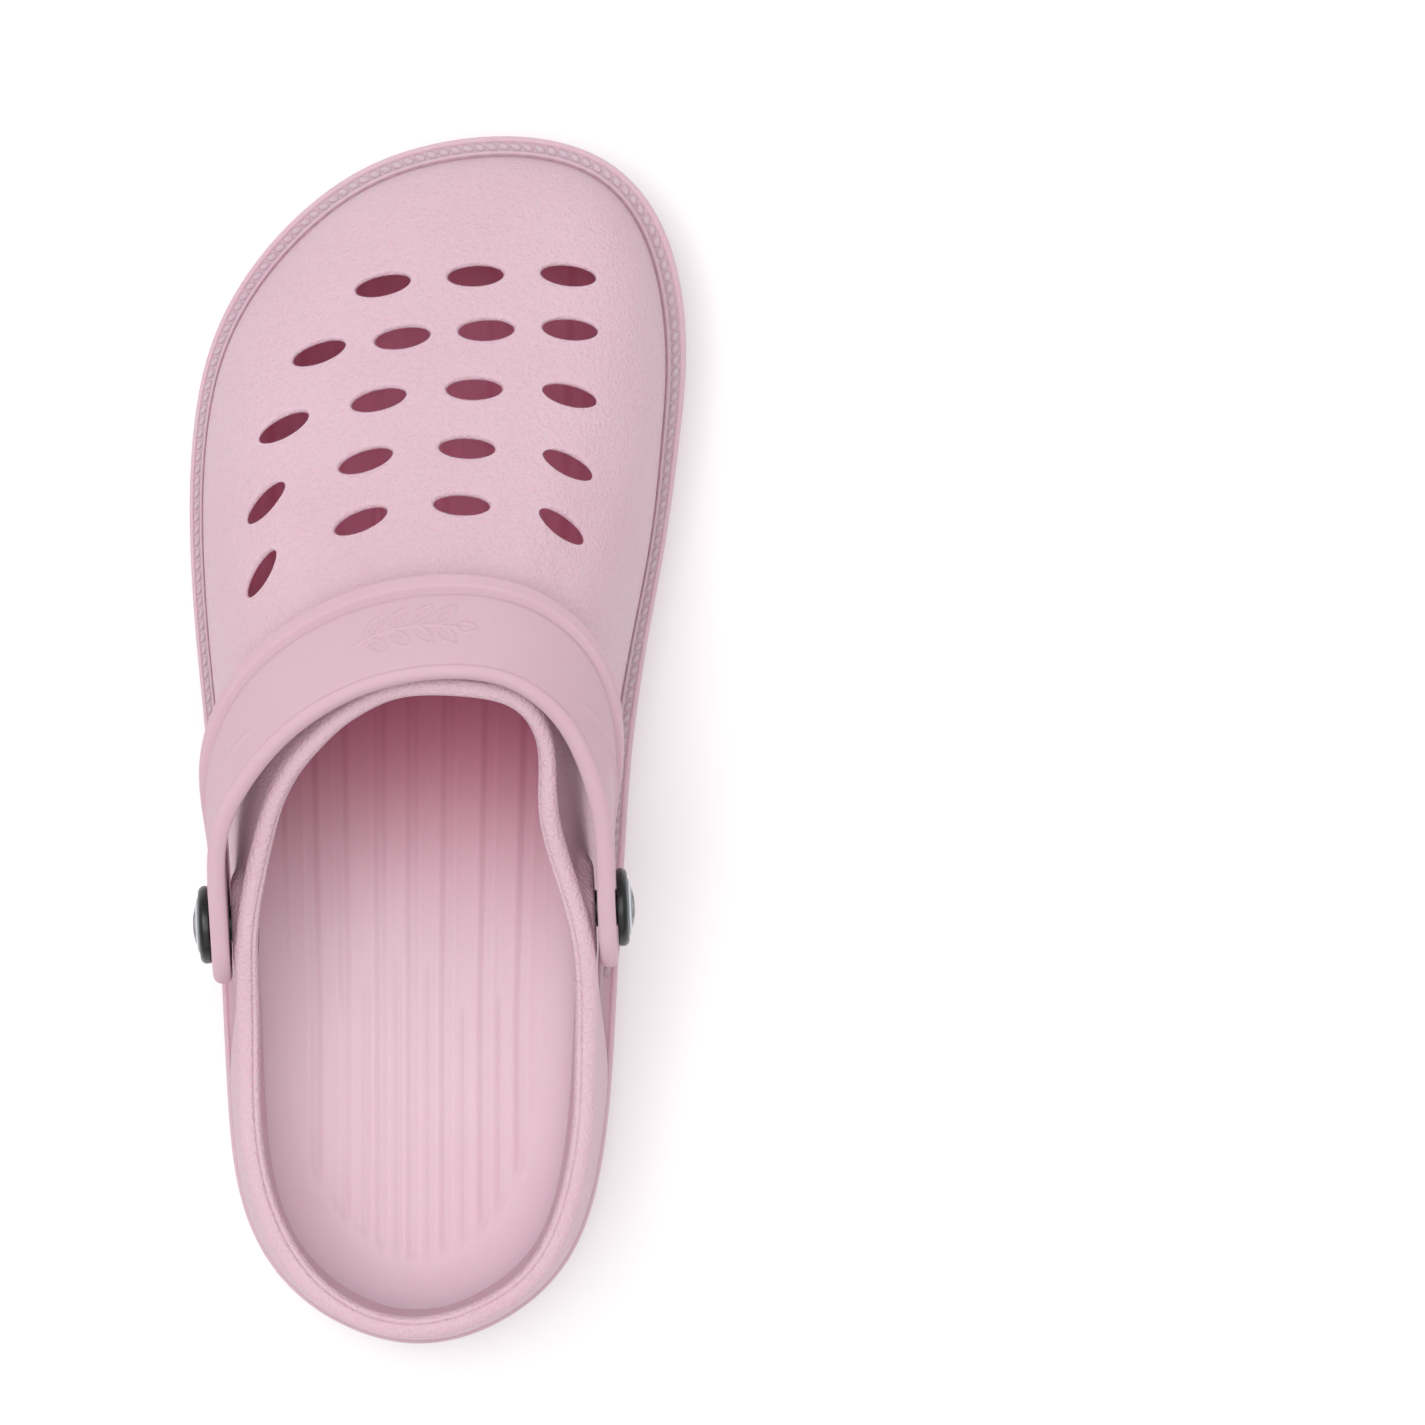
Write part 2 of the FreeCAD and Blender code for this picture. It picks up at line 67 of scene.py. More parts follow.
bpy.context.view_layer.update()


# ---- numbers ------------------------------------------------------------------------------------
def closed_cubic(values: np.ndarray, t: np.ndarray) -> np.ndarray:
    """Smooth closed curve through (n, k) values, one unit of t per value.

    The second derivatives m solve m[i-1] + 4 m[i] + m[i+1] = 6 (v[i-1] - 2 v[i] + v[i+1]).
    """
    n = len(values)
    eye = np.eye(n)
    system = 4 * eye + np.roll(eye, 1, 0) + np.roll(eye, -1, 0)
    bend = np.linalg.solve(system, 6 * (np.roll(values, 1, 0) - 2 * values + np.roll(values, -1, 0)))
    low = np.floor(t).astype(int)
    f = (t - low)[..., None]
    a, b = low % n, (low + 1) % n
    return values[a] * (1 - f) + values[b] * f - f * (1 - f) * ((2 - f) * bend[a] + (1 + f) * bend[b]) / 6


def open_cubic(knots: np.ndarray, values: np.ndarray, t: np.ndarray) -> np.ndarray:
    """Natural cubic spline through (n, k) values at n rising knots, with t held to their range."""
    n = len(knots)
    step = np.diff(knots)
    system = np.eye(n)
    inside = np.arange(1, n - 1)
    system[inside, inside - 1] = step[:-1]
    system[inside, inside] = 2 * (step[:-1] + step[1:])
    system[inside, inside + 1] = step[1:]
    slope = np.diff(values, axis=0) / step[:, None]
    right = np.zeros_like(values, dtype=float)
    right[1:-1] = 6 * np.diff(slope, axis=0)
    bend = np.linalg.solve(system, right)
    t = np.clip(t, knots[0], knots[-1])
    i = np.clip(np.searchsorted(knots, t) - 1, 0, n - 2)
    h = step[i][..., None]
    f = ((t - knots[i]) / step[i])[..., None]
    curve = f * (1 - f) * h * h / 6
    return values[i] * (1 - f) + values[i + 1] * f - curve * ((2 - f) * bend[i] + (1 + f) * bend[i + 1])


def ease(low: float, high: float, x: np.ndarray | float) -> np.ndarray:
    """Smooth step from 0 at low to 1 at high."""
    f = np.clip((x - low) / (high - low), 0, 1)
    return f * f * (3 - 2 * f)


def ridge(x: np.ndarray | float, width: float) -> np.ndarray:
    """Bell of height 1 about x = 0, about width wide at its foot."""
    return np.exp(-(x / (0.35 * width)) ** 2)


def unit(v: np.ndarray) -> np.ndarray:
    """Vectors along the last axis at length 1."""
    return v / np.linalg.norm(v, axis=-1, keepdims=True)


def run_length(points: np.ndarray) -> np.ndarray:
    """Length along a chain of points up to each of them."""
    return np.concatenate([[0], np.cumsum(np.linalg.norm(np.diff(points, axis=0), axis=-1))])


def raised(plan: np.ndarray, z: np.ndarray) -> np.ndarray:
    """Plan points with their heights."""
    return np.concatenate([plan, z[..., None]], -1)


# ---- meshes -------------------------------------------------------------------------------------
def grid_quads(rows: int, columns: int, wrap_rows: bool, wrap_columns: bool) -> np.ndarray:
    """Corner indices of the quads on a rows by columns grid, closed in the directions that wrap."""
    r = np.arange(rows if wrap_rows else rows - 1)
    c = np.arange(columns if wrap_columns else columns - 1)
    r, c = np.meshgrid(r, c, indexing="ij")
    r2, c2 = (r + 1) % rows, (c + 1) % columns
    corners = (r * columns + c, r * columns + c2, r2 * columns + c2, r2 * columns + c)
    return np.stack(corners, -1).reshape(-1, 4)


def linked(name: str, data: ID) -> Object:
    """A new object in the scene."""
    obj = bpy.data.objects.new(name, data)
    bpy.context.scene.collection.objects.link(obj)
    return obj


def mesh_object(name: str, points: np.ndarray, quads: np.ndarray) -> Object:
    """A mesh object at the origin from millimetre points and quads."""
    mesh = bpy.data.meshes.new(name)
    mesh.vertices.add(len(points))
    mesh.vertices.foreach_set("co", (points * MM).astype(np.float32).ravel())
    mesh.loops.add(quads.size)
    mesh.loops.foreach_set("vertex_index", quads.astype(np.int32).ravel())
    mesh.polygons.add(len(quads))
    mesh.polygons.foreach_set("loop_start", np.arange(0, quads.size, 4, dtype=np.int32))
    mesh.polygons.foreach_set("loop_total", np.full(len(quads), 4, dtype=np.int32))
    mesh.update(calc_edges=True)
    return linked(name, mesh)


def grid_object(name: str, grid: np.ndarray, wrap_rows: bool, wrap_columns: bool) -> Object:
    """A mesh object from a (rows, columns, 3) grid of points."""
    rows, columns = grid.shape[:2]
    return mesh_object(name, grid.reshape(-1, 3), grid_quads(rows, columns, wrap_rows, wrap_columns))


def paint_map(obj: Object, name: str, plan: np.ndarray, period: float = 0.0) -> None:
    """Writes a UV map from one (u, v) pair per vertex of a mesh of quads, in millimetres.

    On a grid that closes on itself, period is the length from the last column back to the first.
    """
    mesh = obj.data
    layer = mesh.uv_layers.new(name=name)
    index = np.empty(len(mesh.loops), dtype=np.int32)
    mesh.loops.foreach_get("vertex_index", index)
    corners = plan[index].reshape(-1, 4, 2)
    span = plan[:, 0].max() + period
    across_seam = (np.ptp(corners[..., 0], axis=1) > span / 2)[:, None] & (corners[..., 0] < span / 2)
    corners[..., 0] += span * across_seam
    layer.data.foreach_set("uv", corners.astype(np.float32).ravel())


@contextmanager
def editing(mesh: Mesh) -> Iterator[bmesh.types.BMesh]:
    """Opens a mesh for bmesh work and writes it back."""
    work = bmesh.new()
    work.from_mesh(mesh)
    yield work
    work.to_mesh(mesh)
    work.free()


def close_up(obj: Object) -> None:
    """Merges doubled points at poles and seams, drops what that leaves empty, and turns faces outwards."""
    with editing(obj.data) as work:
        bmesh.ops.remove_doubles(work, verts=work.verts, dist=DOUBLES_MM * MM)
        bmesh.ops.dissolve_degenerate(work, edges=work.edges, dist=TINY_M)
        bmesh.ops.recalc_face_normals(work, faces=work.faces)
    obj.data.update()


def smooth(obj: Object, crease_deg: float) -> None:
    """Smooth shading with edges sharper than the crease kept crisp."""
    mesh = obj.data
    mesh.polygons.foreach_set("use_smooth", np.ones(len(mesh.polygons), dtype=bool))
    mesh.set_sharp_from_angle(angle=math.radians(crease_deg))
    mesh.update()


def joined(name: str, parts: list[Object]) -> Object:
    """One object from several, which are removed."""
    work = bmesh.new()
    for part in parts:
        work.from_mesh(part.data)
    mesh = bpy.data.meshes.new(name)
    work.to_mesh(mesh)
    work.free()
    for part in parts:
        discard(part)
    return linked(name, mesh)


def discard(obj: Object) -> None:
    """Removes an object and its mesh."""
    mesh = obj.data
    bpy.data.objects.remove(obj)
    bpy.data.meshes.remove(mesh)


def carve(obj: Object, cutter: Object) -> None:
    """Cuts the cutter out of obj, keeps the result as plain mesh and removes the cutter."""
    bpy.context.view_layer.update()
    cut = obj.modifiers.new("carve", "BOOLEAN")
    cut.operation = "DIFFERENCE"
    cut.solver = "EXACT"
    cut.object = cutter
    graph = bpy.context.evaluated_depsgraph_get()
    result = bpy.data.meshes.new_from_object(obj.evaluated_get(graph))
    obj.modifiers.clear()
    old = obj.data
    obj.data = result
    bpy.data.meshes.remove(old)
    discard(cutter)


# ---- the last -----------------------------------------------------------------------------------
class Col(Enum):
    """Columns of the station table."""
    FOOT_X = 0
    FOOT_Y = 1
    FLANGE = 2
    COLLAR_X = 3
    COLLAR_Y = 4
    COLLAR_Z = 5
    RISE = 6
    SHARE = 7
    HANDLE_Z = 8
    TILT = 9


# Stations round the shoe from the back of the heel, along the inner side and back: foot of the wall,
# flange width, collar, and the handles and tilt of the curve that climbs between them.
STATIONS = np.array([
    (-5.5, -129.0, 3.5, -6.0, -129.6, 62.0, 12.0, 1.00, 50.0, 0.0),
    (15.0, -122.4, 3.8, 14.5, -123.8, 61.5, 12.0, 1.00, 50.0, 0.0),
    (27.4, -108.0, 3.9, 27.4, -110.0, 60.0, 12.0, 1.00, 49.0, 0.0),
    (32.6, -87.5, 4.0, 33.4, -88.0, 57.5, 11.0, 1.00, 47.0, 0.0),
    (34.3, -66.0, 4.2, 34.5, -67.0, 58.0, 11.0, 1.00, 47.0, 0.0),
    (35.2, -45.0, 4.4, 34.0, -46.0, 66.0, 13.0, 0.95, 53.0, 10.0),
    (36.6, -22.0, 4.4, 29.6, -29.0, 71.5, 17.0, 0.85, 59.0, 22.0),
    (38.6, 0.0, 4.1, 26.0, -16.5, 78.0, 22.0, 0.70, 64.0, 35.0),
    (42.6, 23.5, 3.5, 25.3, -6.5, 83.0, 26.0, 0.60, 64.5, 48.0),
    (46.6, 45.0, 3.4, 24.2, 0.8, 86.5, 29.0, 0.50, 63.5, 56.0),
    (48.9, 66.0, 3.9, 21.2, 6.2, 89.5, 31.0, 0.42, 60.5, 60.0),
    (49.8, 86.5, 4.5, 16.6, 9.6, 91.4, 31.5, 0.40, 55.0, 60.0),
    (46.2, 107.5, 4.7, 11.0, 11.1, 92.5, 32.0, 0.38, 52.0, 60.0),
    (35.6, 122.6, 4.4, 5.5, 11.7, 92.9, 31.0, 0.375, 47.0, 60.0),
    (17.8, 128.1, 4.3, 0.0, 11.9, 93.0, 30.0, 0.375, 46.0, 60.0),
    (-2.0, 126.2, 4.3, -5.5, 11.6, 92.8, 31.0, 0.375, 47.0, 60.0),
    (-19.6, 118.8, 4.2, -11.0, 10.2, 92.2, 32.0, 0.38, 50.0, 60.0),
    (-35.2, 104.9, 4.0, -16.6, 7.4, 91.0, 33.0, 0.39, 55.0, 60.0),
    (-45.6, 88.6, 3.6, -21.6, 3.9, 89.3, 34.0, 0.41, 61.0, 60.0),
    (-50.4, 71.5, 3.2, -26.6, -0.7, 87.0, 33.0, 0.46, 63.5, 56.0),
    (-51.9, 52.0, 3.0, -31.2, -6.0, 84.0, 30.0, 0.52, 66.0, 52.0),
    (-51.2, 30.0, 2.9, -35.2, -13.0, 80.0, 26.0, 0.65, 67.0, 46.0),
    (-49.2, 8.0, 2.9, -38.2, -21.5, 75.5, 22.0, 0.75, 63.0, 35.0),
    (-47.0, -14.0, 3.0, -40.8, -31.5, 71.0, 17.0, 0.85, 59.0, 22.0),
    (-45.4, -37.0, 3.2, -42.6, -44.0, 67.0, 13.0, 0.95, 54.0, 10.0),
    (-43.7, -60.0, 3.7, -42.7, -62.0, 58.2, 11.0, 1.00, 47.0, 0.0),
    (-42.4, -83.0, 3.7, -42.3, -83.5, 57.0, 11.0, 1.00, 46.0, 0.0),
    (-38.7, -103.3, 3.8, -38.0, -104.0, 58.5, 12.0, 1.00, 48.0, 0.0),
    (-27.0, -120.3, 3.7, -26.0, -121.6, 61.0, 12.0, 1.00, 50.0, 0.0),
])
COUNT = len(STATIONS)
FLANGE_TOP = np.array([(-140, 31), (-110, 28.5), (-70, 26.5), (-20, 24.5), (40, 23.5), (85, 24.5),
                       (115, 27), (140, 31)])
BED_TOP = np.array([(-140, 33), (-118, 29.5), (-85, 27.5), (-35, 26), (10, 22.5), (50, 19.5),
                    (85, 19.5), (112, 22), (140, 26)])
BED_THICKNESS = 6.5
FOOT_DEPTH = 3.0    # how far the wall starts below the flange
FLARE_SHORT = 0.75  # how far inside the flange's edge the heel's skin stops
FLARE_START, FLARE_END = -48, -76  # places along the shoe between which it spreads
FULL_CLIMB = 0.62   # 1 - share on top of the toes, where the foam is vamp_wall thick
UNDER = np.array([(-140, 4.6), (-120, 0.9), (-104, 0), (68, 0), (88, 1.0), (112, 4.0), (140, 10.2)])


@dataclass
class Last:
    """The form that the sole, upper and footbed are built on, from the station table."""
    wall: float = 5.0
    rim: float = 4.0
    vamp_wall: float = 4.5
    shift: np.ndarray = field(init=False)

    def __post_init__(self) -> None:
        """Finds the move that puts the sole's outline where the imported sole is."""
        self.shift = np.zeros(3)
        outline = self.sole(np.linspace(0, COUNT, 4000), 0.0)
        low, high = (np.array(corner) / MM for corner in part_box("outsole"))
        middle = (outline.min(0) + outline.max(0)) / 2
        self.shift = np.array([(low[0] + high[0]) / 2 - middle[0], (low[1] + high[1]) / 2 - middle[1], 0.0])
        log.info("last moved by %s mm", np.round(self.shift, 3))

    @staticmethod
    def column(t: np.ndarray, *columns: Col) -> np.ndarray:
        """Columns of the station table between stations."""
        return closed_cubic(STATIONS[:, [c.value for c in columns]], t)

    def outward(self, t: np.ndarray, x: Col, y: Col) -> np.ndarray:
        """Level unit vectors out of the closed plan curve held in two columns."""
        step = 0.02
        along = self.column(t + step, x, y) - self.column(t - step, x, y)
        return unit(np.stack([along[..., 1], -along[..., 0]], -1))

    def foot(self, t: np.ndarray, out: float | np.ndarray) -> np.ndarray:
        """Plan points on the wall's foot, moved outwards."""
        out = np.broadcast_to(out, t.shape)[..., None]
        foot = self.column(t, Col.FOOT_X, Col.FOOT_Y)
        return foot + self.outward(t, Col.FOOT_X, Col.FOOT_Y) * out + self.shift[:2]

    def sole(self, t: np.ndarray, out: float | np.ndarray) -> np.ndarray:
        """Plan points on the edge of the sole's flange, moved outwards."""
        return self.foot(t, self.column(t, Col.FLANGE)[..., 0] + out)

    def height(self, profile: np.ndarray, y: np.ndarray) -> np.ndarray:
        """Height of a side profile of y, z points at places along the shoe."""
        return open_cubic(profile[:, 0], profile[:, 1:], y - self.shift[1])[..., 0]

    def under(self, y: np.ndarray) -> np.ndarray:
        """Height of the underside: level in the middle, curling up at heel and toe."""
        return np.interp(y - self.shift[1], UNDER[:, 0], UNDER[:, 1])

    def flare(self, t: np.ndarray) -> np.ndarray:
        """How far the heel's skin spreads over the flange: all but its rounded edge, behind the pivots."""
        y = self.column(t, Col.FOOT_Y)[..., 0]
        return (self.column(t, Col.FLANGE)[..., 0] - FLARE_SHORT) * ease(FLARE_START, FLARE_END, y)

    def wall_line(self, t: np.ndarray, inner: bool) -> list[np.ndarray]:
        """The four handles of the cubic that climbs from the foot to the collar at each t."""
        share = self.column(t, Col.SHARE)
        plan = self.foot(t, -self.wall if inner else self.flare(t))
        foot = raised(plan, self.height(FLANGE_TOP, plan[..., 1]) - FOOT_DEPTH)
        collar = self.column(t, Col.COLLAR_X, Col.COLLAR_Y, Col.COLLAR_Z) + self.shift
        drop = np.zeros_like(share)
        if inner:
            tilt = np.radians(self.column(t, Col.TILT))
            side = self.outward(t, Col.COLLAR_X, Col.COLLAR_Y)
            collar = collar - self.rim * np.concatenate([side * np.cos(tilt), np.sin(tilt)], -1)
            drop = self.vamp_wall * (1 - share) / FULL_CLIMB
        first = foot + np.concatenate([np.zeros_like(plan), self.column(t, Col.RISE) - drop / 2], -1)
        second = foot + (collar - foot) * share
        second[..., 2:] = self.column(t, Col.HANDLE_Z) - drop
        return [foot, first, second, collar]

    def wall_point(self, t: np.ndarray, s: np.ndarray, inner: bool) -> np.ndarray:
        """Points on the wall: cubic through the four handles at share s of the way up."""
        a, b, c, d = self.wall_line(t, inner)
        s = s[..., None]
        r = 1 - s
        return a * r ** 3 + b * 3 * r * r * s + c * 3 * r * s * s + d * s ** 3


@dataclass
class Pivot:
    """The line through both rivets, with the directions of the strap's U."""
    climb_deg: float = 29.2
    origin: np.ndarray = field(init=False)
    along: np.ndarray = field(init=False)
    reach: np.ndarray = field(init=False)
    across: np.ndarray = field(init=False)

    def __post_init__(self) -> None:
        """Reads the line from the strap's joint."""
        joint = next(j for j in frame["joints"] if j["name"] == "strap_swing")
        self.origin = np.array(joint["pos_m"]) / MM
        self.along = unit(np.array(joint["axis"], dtype=float))
        ahead = np.array([-self.along[1], self.along[0], 0.0])
        climb = math.radians(self.climb_deg)
        self.reach = ahead * math.cos(climb) + UP * math.sin(climb)
        self.across = UP * math.cos(climb) - ahead * math.sin(climb)

    def polar(self, points: np.ndarray) -> tuple[np.ndarray, np.ndarray]:
        """Distance of points along the line and their radius from it."""
        local = points - self.origin
        run = local @ self.along
        return run, np.linalg.norm(local - run[..., None] * self.along, axis=-1)


# ---- finishes -----------------------------------------------------------------------------------
def linear(hex_colour: str) -> tuple[float, float, float, float]:
    """sRGB hex such as E8C9D6 as a linear colour with alpha 1."""
    parts = np.array([int(hex_colour[i:i + 2], 16) for i in (0, 2, 4)]) / 255
    parts = np.where(parts <= 0.04045, parts / 12.92, ((parts + 0.055) / 1.055) ** 2.4)
    return (*parts.tolist(), 1.0)


def add_node(tree: NodeTree, kind: str, settings: dict | None = None,
             links: dict | None = None) -> Node:
    """Adds a node, sets it and links it.

    Args:
        tree: the material's node tree.
        kind: the node's type name.
        settings: node properties by name, and socket values by index or name in "inputs".
        links: input index or name to the output socket that feeds it.
    """
    node = tree.nodes.new(kind)
    for key, value in (settings or {}).items():
        if key == "inputs":
            for socket, number in value.items():
                node.inputs[socket].default_value = number
        else:
            setattr(node, key, value)
    for socket, source in (links or {}).items():
        tree.links.new(source, node.inputs[socket])
    return node


def blank(name: str) -> tuple[Material, NodeTree]:
    """A material with its empty node tree."""
    made = bpy.data.materials.new(name)
    made.use_nodes = True
    made.node_tree.nodes.clear()
    return made, made.node_tree


def mottle(tree: NodeTree, size_mm: float, detail: float, ends: tuple[float, float],
           trim: float = 0.0) -> tuple[NodeSocket, NodeSocket]:
    """Clouds of a real size, as they are and as a value between two ends; trim sharpens the value."""
    place = add_node(tree, "ShaderNodeTexCoord")
    noise = add_node(tree, "ShaderNodeTexNoise", {"inputs": {"Scale": 1 / (size_mm * MM), "Detail": detail}},
                     {"Vector": place.outputs["Object"]})
    value = add_node(tree, "ShaderNodeMapRange", {"inputs": {"From Min": trim, "From Max": 1 - trim,
                     "To Min": ends[0], "To Max": ends[1]}}, {"Value": noise.outputs["Fac"]})
    return noise.outputs["Fac"], value.outputs[0]


class Relief(Enum):
    """Fine surface that the mould leaves on a foam piece."""
    PEBBLE = "pebble"
    HATCH = "hatch"
    SATIN = "satin"


@dataclass(frozen=True)
class MouldedFoam:
    """Injection-moulded cross-linked EVA foam: soft satin skin, light that sinks in a little.

    Where rich is set, painted shade deepens the colour to it inside the toe box, and painted light turns it
    to bright under the vents.
    """
    name: str
    colour: str
    deep: str
    relief: Relief
    roughness: float = 0.68
    grain_mm: float = 0.7
    height_mm: float = 0.05
    glow: float = 0.25
    # Colour of the painted shade inside the toe box, then the colour of the painted light under the vents.
    toe_box_shade: str = ""
    bright: str = "FFA0C0"

    def material(self) -> Material:
        """Builds the foam: mottled pink, a grain of the mould's steel, and a little scatter."""
        made, tree = blank(self.name)
        place = add_node(tree, "ShaderNodeTexCoord")
        tone = mottle(tree, 38, 2.0, (0.0, 1.0), 0.3)[1]
        colour = add_node(tree, "ShaderNodeMix", {"data_type": "RGBA", "inputs": {6: linear(self.colour),
                          7: linear(self.deep)}}, {0: tone})
        # Painted shade and painted light along the shoe: a deeper pink from mid-foot into the toe box for
        # shade, then a bright pink under the vents for the light let in by the slots.
        if self.toe_box_shade:
            parts = add_node(tree, "ShaderNodeSeparateXYZ", None, {0: place.outputs["Object"]})
            for painted_hue, start, end in ((self.toe_box_shade, -52, 16), (self.bright, 14, 44)):
                stretch = {"From Min": start * MM, "From Max": end * MM}
                ahead = add_node(tree, "ShaderNodeMapRange", {"interpolation_type": "SMOOTHSTEP",
                                 "inputs": stretch}, {"Value": parts.outputs["Y"]})
                colour = add_node(tree, "ShaderNodeMix", {"data_type": "RGBA", "inputs": {7: linear(painted_hue)}},
                                  {0: ahead.outputs[0], 6: colour.outputs[2]})
        gloss = mottle(tree, 1.1, 3.0, (self.roughness - 0.05, self.roughness + 0.06), 0.3)[1]
        shader = add_node(tree, "ShaderNodeBsdfPrincipled", {"inputs": {
            "IOR": 1.49, "Specular IOR Level": 0.2, "Subsurface Weight": self.glow,
            "Subsurface Scale": 5.0 * MM, "Subsurface Radius": (1.0, 0.35, 0.45)}},
            {"Base Color": colour.outputs[2], "Roughness": gloss, "Normal": self.bump(tree, place)})
        add_node(tree, "ShaderNodeOutputMaterial", None, {"Surface": shader.outputs[0]})
        return made

    def bump(self, tree: NodeTree, place: Node) -> NodeSocket:
        """Normal of the fine relief, sized from real millimetres."""
        # The mould's grain is near 0.1 mm; it is drawn five to seven times coarser so that it shows.
        grain = add_node(tree, "ShaderNodeTexVoronoi", {"feature": "SMOOTH_F1",
                         "inputs": {"Scale": 1 / (self.grain_mm * MM), "Smoothness": 0.8}},
                         {"Vector": place.outputs["Object"]})
        level = grain.outputs["Distance"]
        if self.relief is Relief.SATIN:
            fine = add_node(tree, "ShaderNodeTexNoise", {"inputs": {"Scale": 1 / (0.5 * MM), "Detail": 3.0}},
                            {"Vector": place.outputs["Object"]})
            level = fine.outputs["Fac"]
        if self.relief is Relief.HATCH:
            flat = add_node(tree, "ShaderNodeUVMap", {"uv_map": "Wall"})
            wave = add_node(tree, "ShaderNodeTexWave", {"bands_direction": "DIAGONAL",
                            "inputs": {"Scale": math.pi / (10 * HATCH_MM), "Distortion": 0.0}},
                            {"Vector": flat.outputs[0]})
            level = add_node(tree, "ShaderNodeMath", {"operation": "MULTIPLY_ADD", "inputs": {1: 1.6}},
                             {0: wave.outputs["Fac"], 2: level}).outputs[0]
        out = add_node(tree, "ShaderNodeBump", {"inputs": {"Strength": 1.0, "Distance": self.height_mm * MM}},
                       {"Height": level})
        return out.outputs[0]


@dataclass(frozen=True)
class MouldedPlastic:
    """Injection-moulded black acetal: smooth, slightly glossy, with faint moulding variation."""
    name: str
    colour: str
    roughness: float

    def material(self) -> Material:
        """Builds the plastic with a soft orange-peel skin."""
        made, tree = blank(self.name)
        cloud, gloss = mottle(tree, 1.5, 3.0, (self.roughness - 0.05, self.roughness + 0.08))
        bump = add_node(tree, "ShaderNodeBump", {"inputs": {"Strength": 0.4, "Distance": 0.01 * MM}},
                        {"Height": cloud})
        shader = add_node(tree, "ShaderNodeBsdfPrincipled", {"inputs": {
            "Base Color": linear(self.colour), "IOR": 1.48}}, {"Roughness": gloss, "Normal": bump.outputs[0]})
        add_node(tree, "ShaderNodeOutputMaterial", None, {"Surface": shader.outputs[0]})
        return made


@dataclass(frozen=True)
class PrintedDisc:
    """Pad-printed polymer disc: grey field, bright foil ring and a dark printed flower."""
    name: str
    ground: str
    foil: str
    ink: str

    def material(self) -> Material:
        """Builds the print from the piece's own attributes foil and ink."""
        made, tree = blank(self.name)
        foil = add_node(tree, "ShaderNodeAttribute", {"attribute_name": "foil"})
        ink = add_node(tree, "ShaderNodeAttribute", {"attribute_name": "ink"})
        inked = add_node(tree, "ShaderNodeMix", {"data_type": "RGBA", "inputs": {6: linear(self.ground),
                         7: linear(self.ink)}}, {0: ink.outputs["Fac"]})
        colour = add_node(tree, "ShaderNodeMix", {"data_type": "RGBA", "inputs": {7: linear(self.foil)}},
                          {0: foil.outputs["Fac"], 6: inked.outputs[2]})
        gloss = mottle(tree, 0.6, 2.0, (0.28, 0.42))[1]
        shader = add_node(tree, "ShaderNodeBsdfPrincipled", None, {
            "Base Color": colour.outputs[2], "Metallic": foil.outputs["Fac"], "Roughness": gloss})
        add_node(tree, "ShaderNodeOutputMaterial", None, {"Surface": shader.outputs[0]})
        return made


# ---- pieces -------------------------------------------------------------------------------------
def settle(obj: Object, finish: Material, body: str, node: str) -> None:
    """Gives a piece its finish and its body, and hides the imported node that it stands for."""
    obj.data.materials.clear()
    obj.data.materials.append(finish)
    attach(obj, body)
    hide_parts(node)
    log.info("%s: %d faces, rides on %s", obj.name, len(obj.data.polygons), body)


def turned(name: str, pivot: Pivot, side: int, outline: list[tuple[float, float]],
           steps: int) -> Object:
    """A closed solid of revolution about the pivot line.

    Args:
        name: object name.
        pivot: the line.
        side: -1 for the outer side of the foot and +1 for the inner.
        outline: distance along the line and radius, from axis to axis or as a closed ring.
        steps: columns round the line.
    """
    profile = np.array(outline, dtype=float)
    angle = np.linspace(0, 2 * math.pi, steps, endpoint=False)
    spoke = np.cos(angle)[:, None] * pivot.across + np.sin(angle)[:, None] * pivot.reach
    run, radius = profile[:, :1, None], profile[:, 1:, None]
    ring = profile[0, 1] > 0
    obj = grid_object(name, pivot.origin + side * run * pivot.along + radius * spoke, ring, True)
    close_up(obj)
    return obj


def stem_ways(pivot: Pivot) -> list[Object]:
    """A plug on each side, 0.05 mm larger than a rivet's stem, to cut its way."""
    outline = [(30, 0), (30, 4.05), (50, 4.05), (50, 0)]
    return [turned("stem_way", pivot, side, outline, 40) for side in (-1, 1)]


WALL_AT_PIVOT = 39.5
SEAT_AT_PIVOT = 35.6
BEYOND = 60.0       # farther out along the pivot line than any skin
# Each row of slots: its inner and outer end, how many slots, and how far its middle bows to the toe.
VENT_ROWS = [((28.8, 101.5), (-11.8, 99.3), 3, 1.0), ((29.2, 89.6), (-25.7, 84.5), 4, 1.7),
             ((29.2, 75.1), (-33.3, 68.2), 4, 4.1), ((29.0, 59.9), (-37.3, 51.7), 4, 7.2),
             ((27.8, 46.5), (-38.1, 36.2), 4, 9.1)]
VENT_TURN = 1.25    # how much more a slot turns than its row
# Rings of a slot's plug: height over the skin and flare. The deepest lies straight below the others.
PLUG_RINGS = np.array([(-11.0, 0.0), (-1.1, 0.0), (-0.8, 0.05), (-0.5, 0.17), (-0.25, 0.36),
                       (-0.06, 0.6), (0.1, 1.0), (0.8, 2.6)])


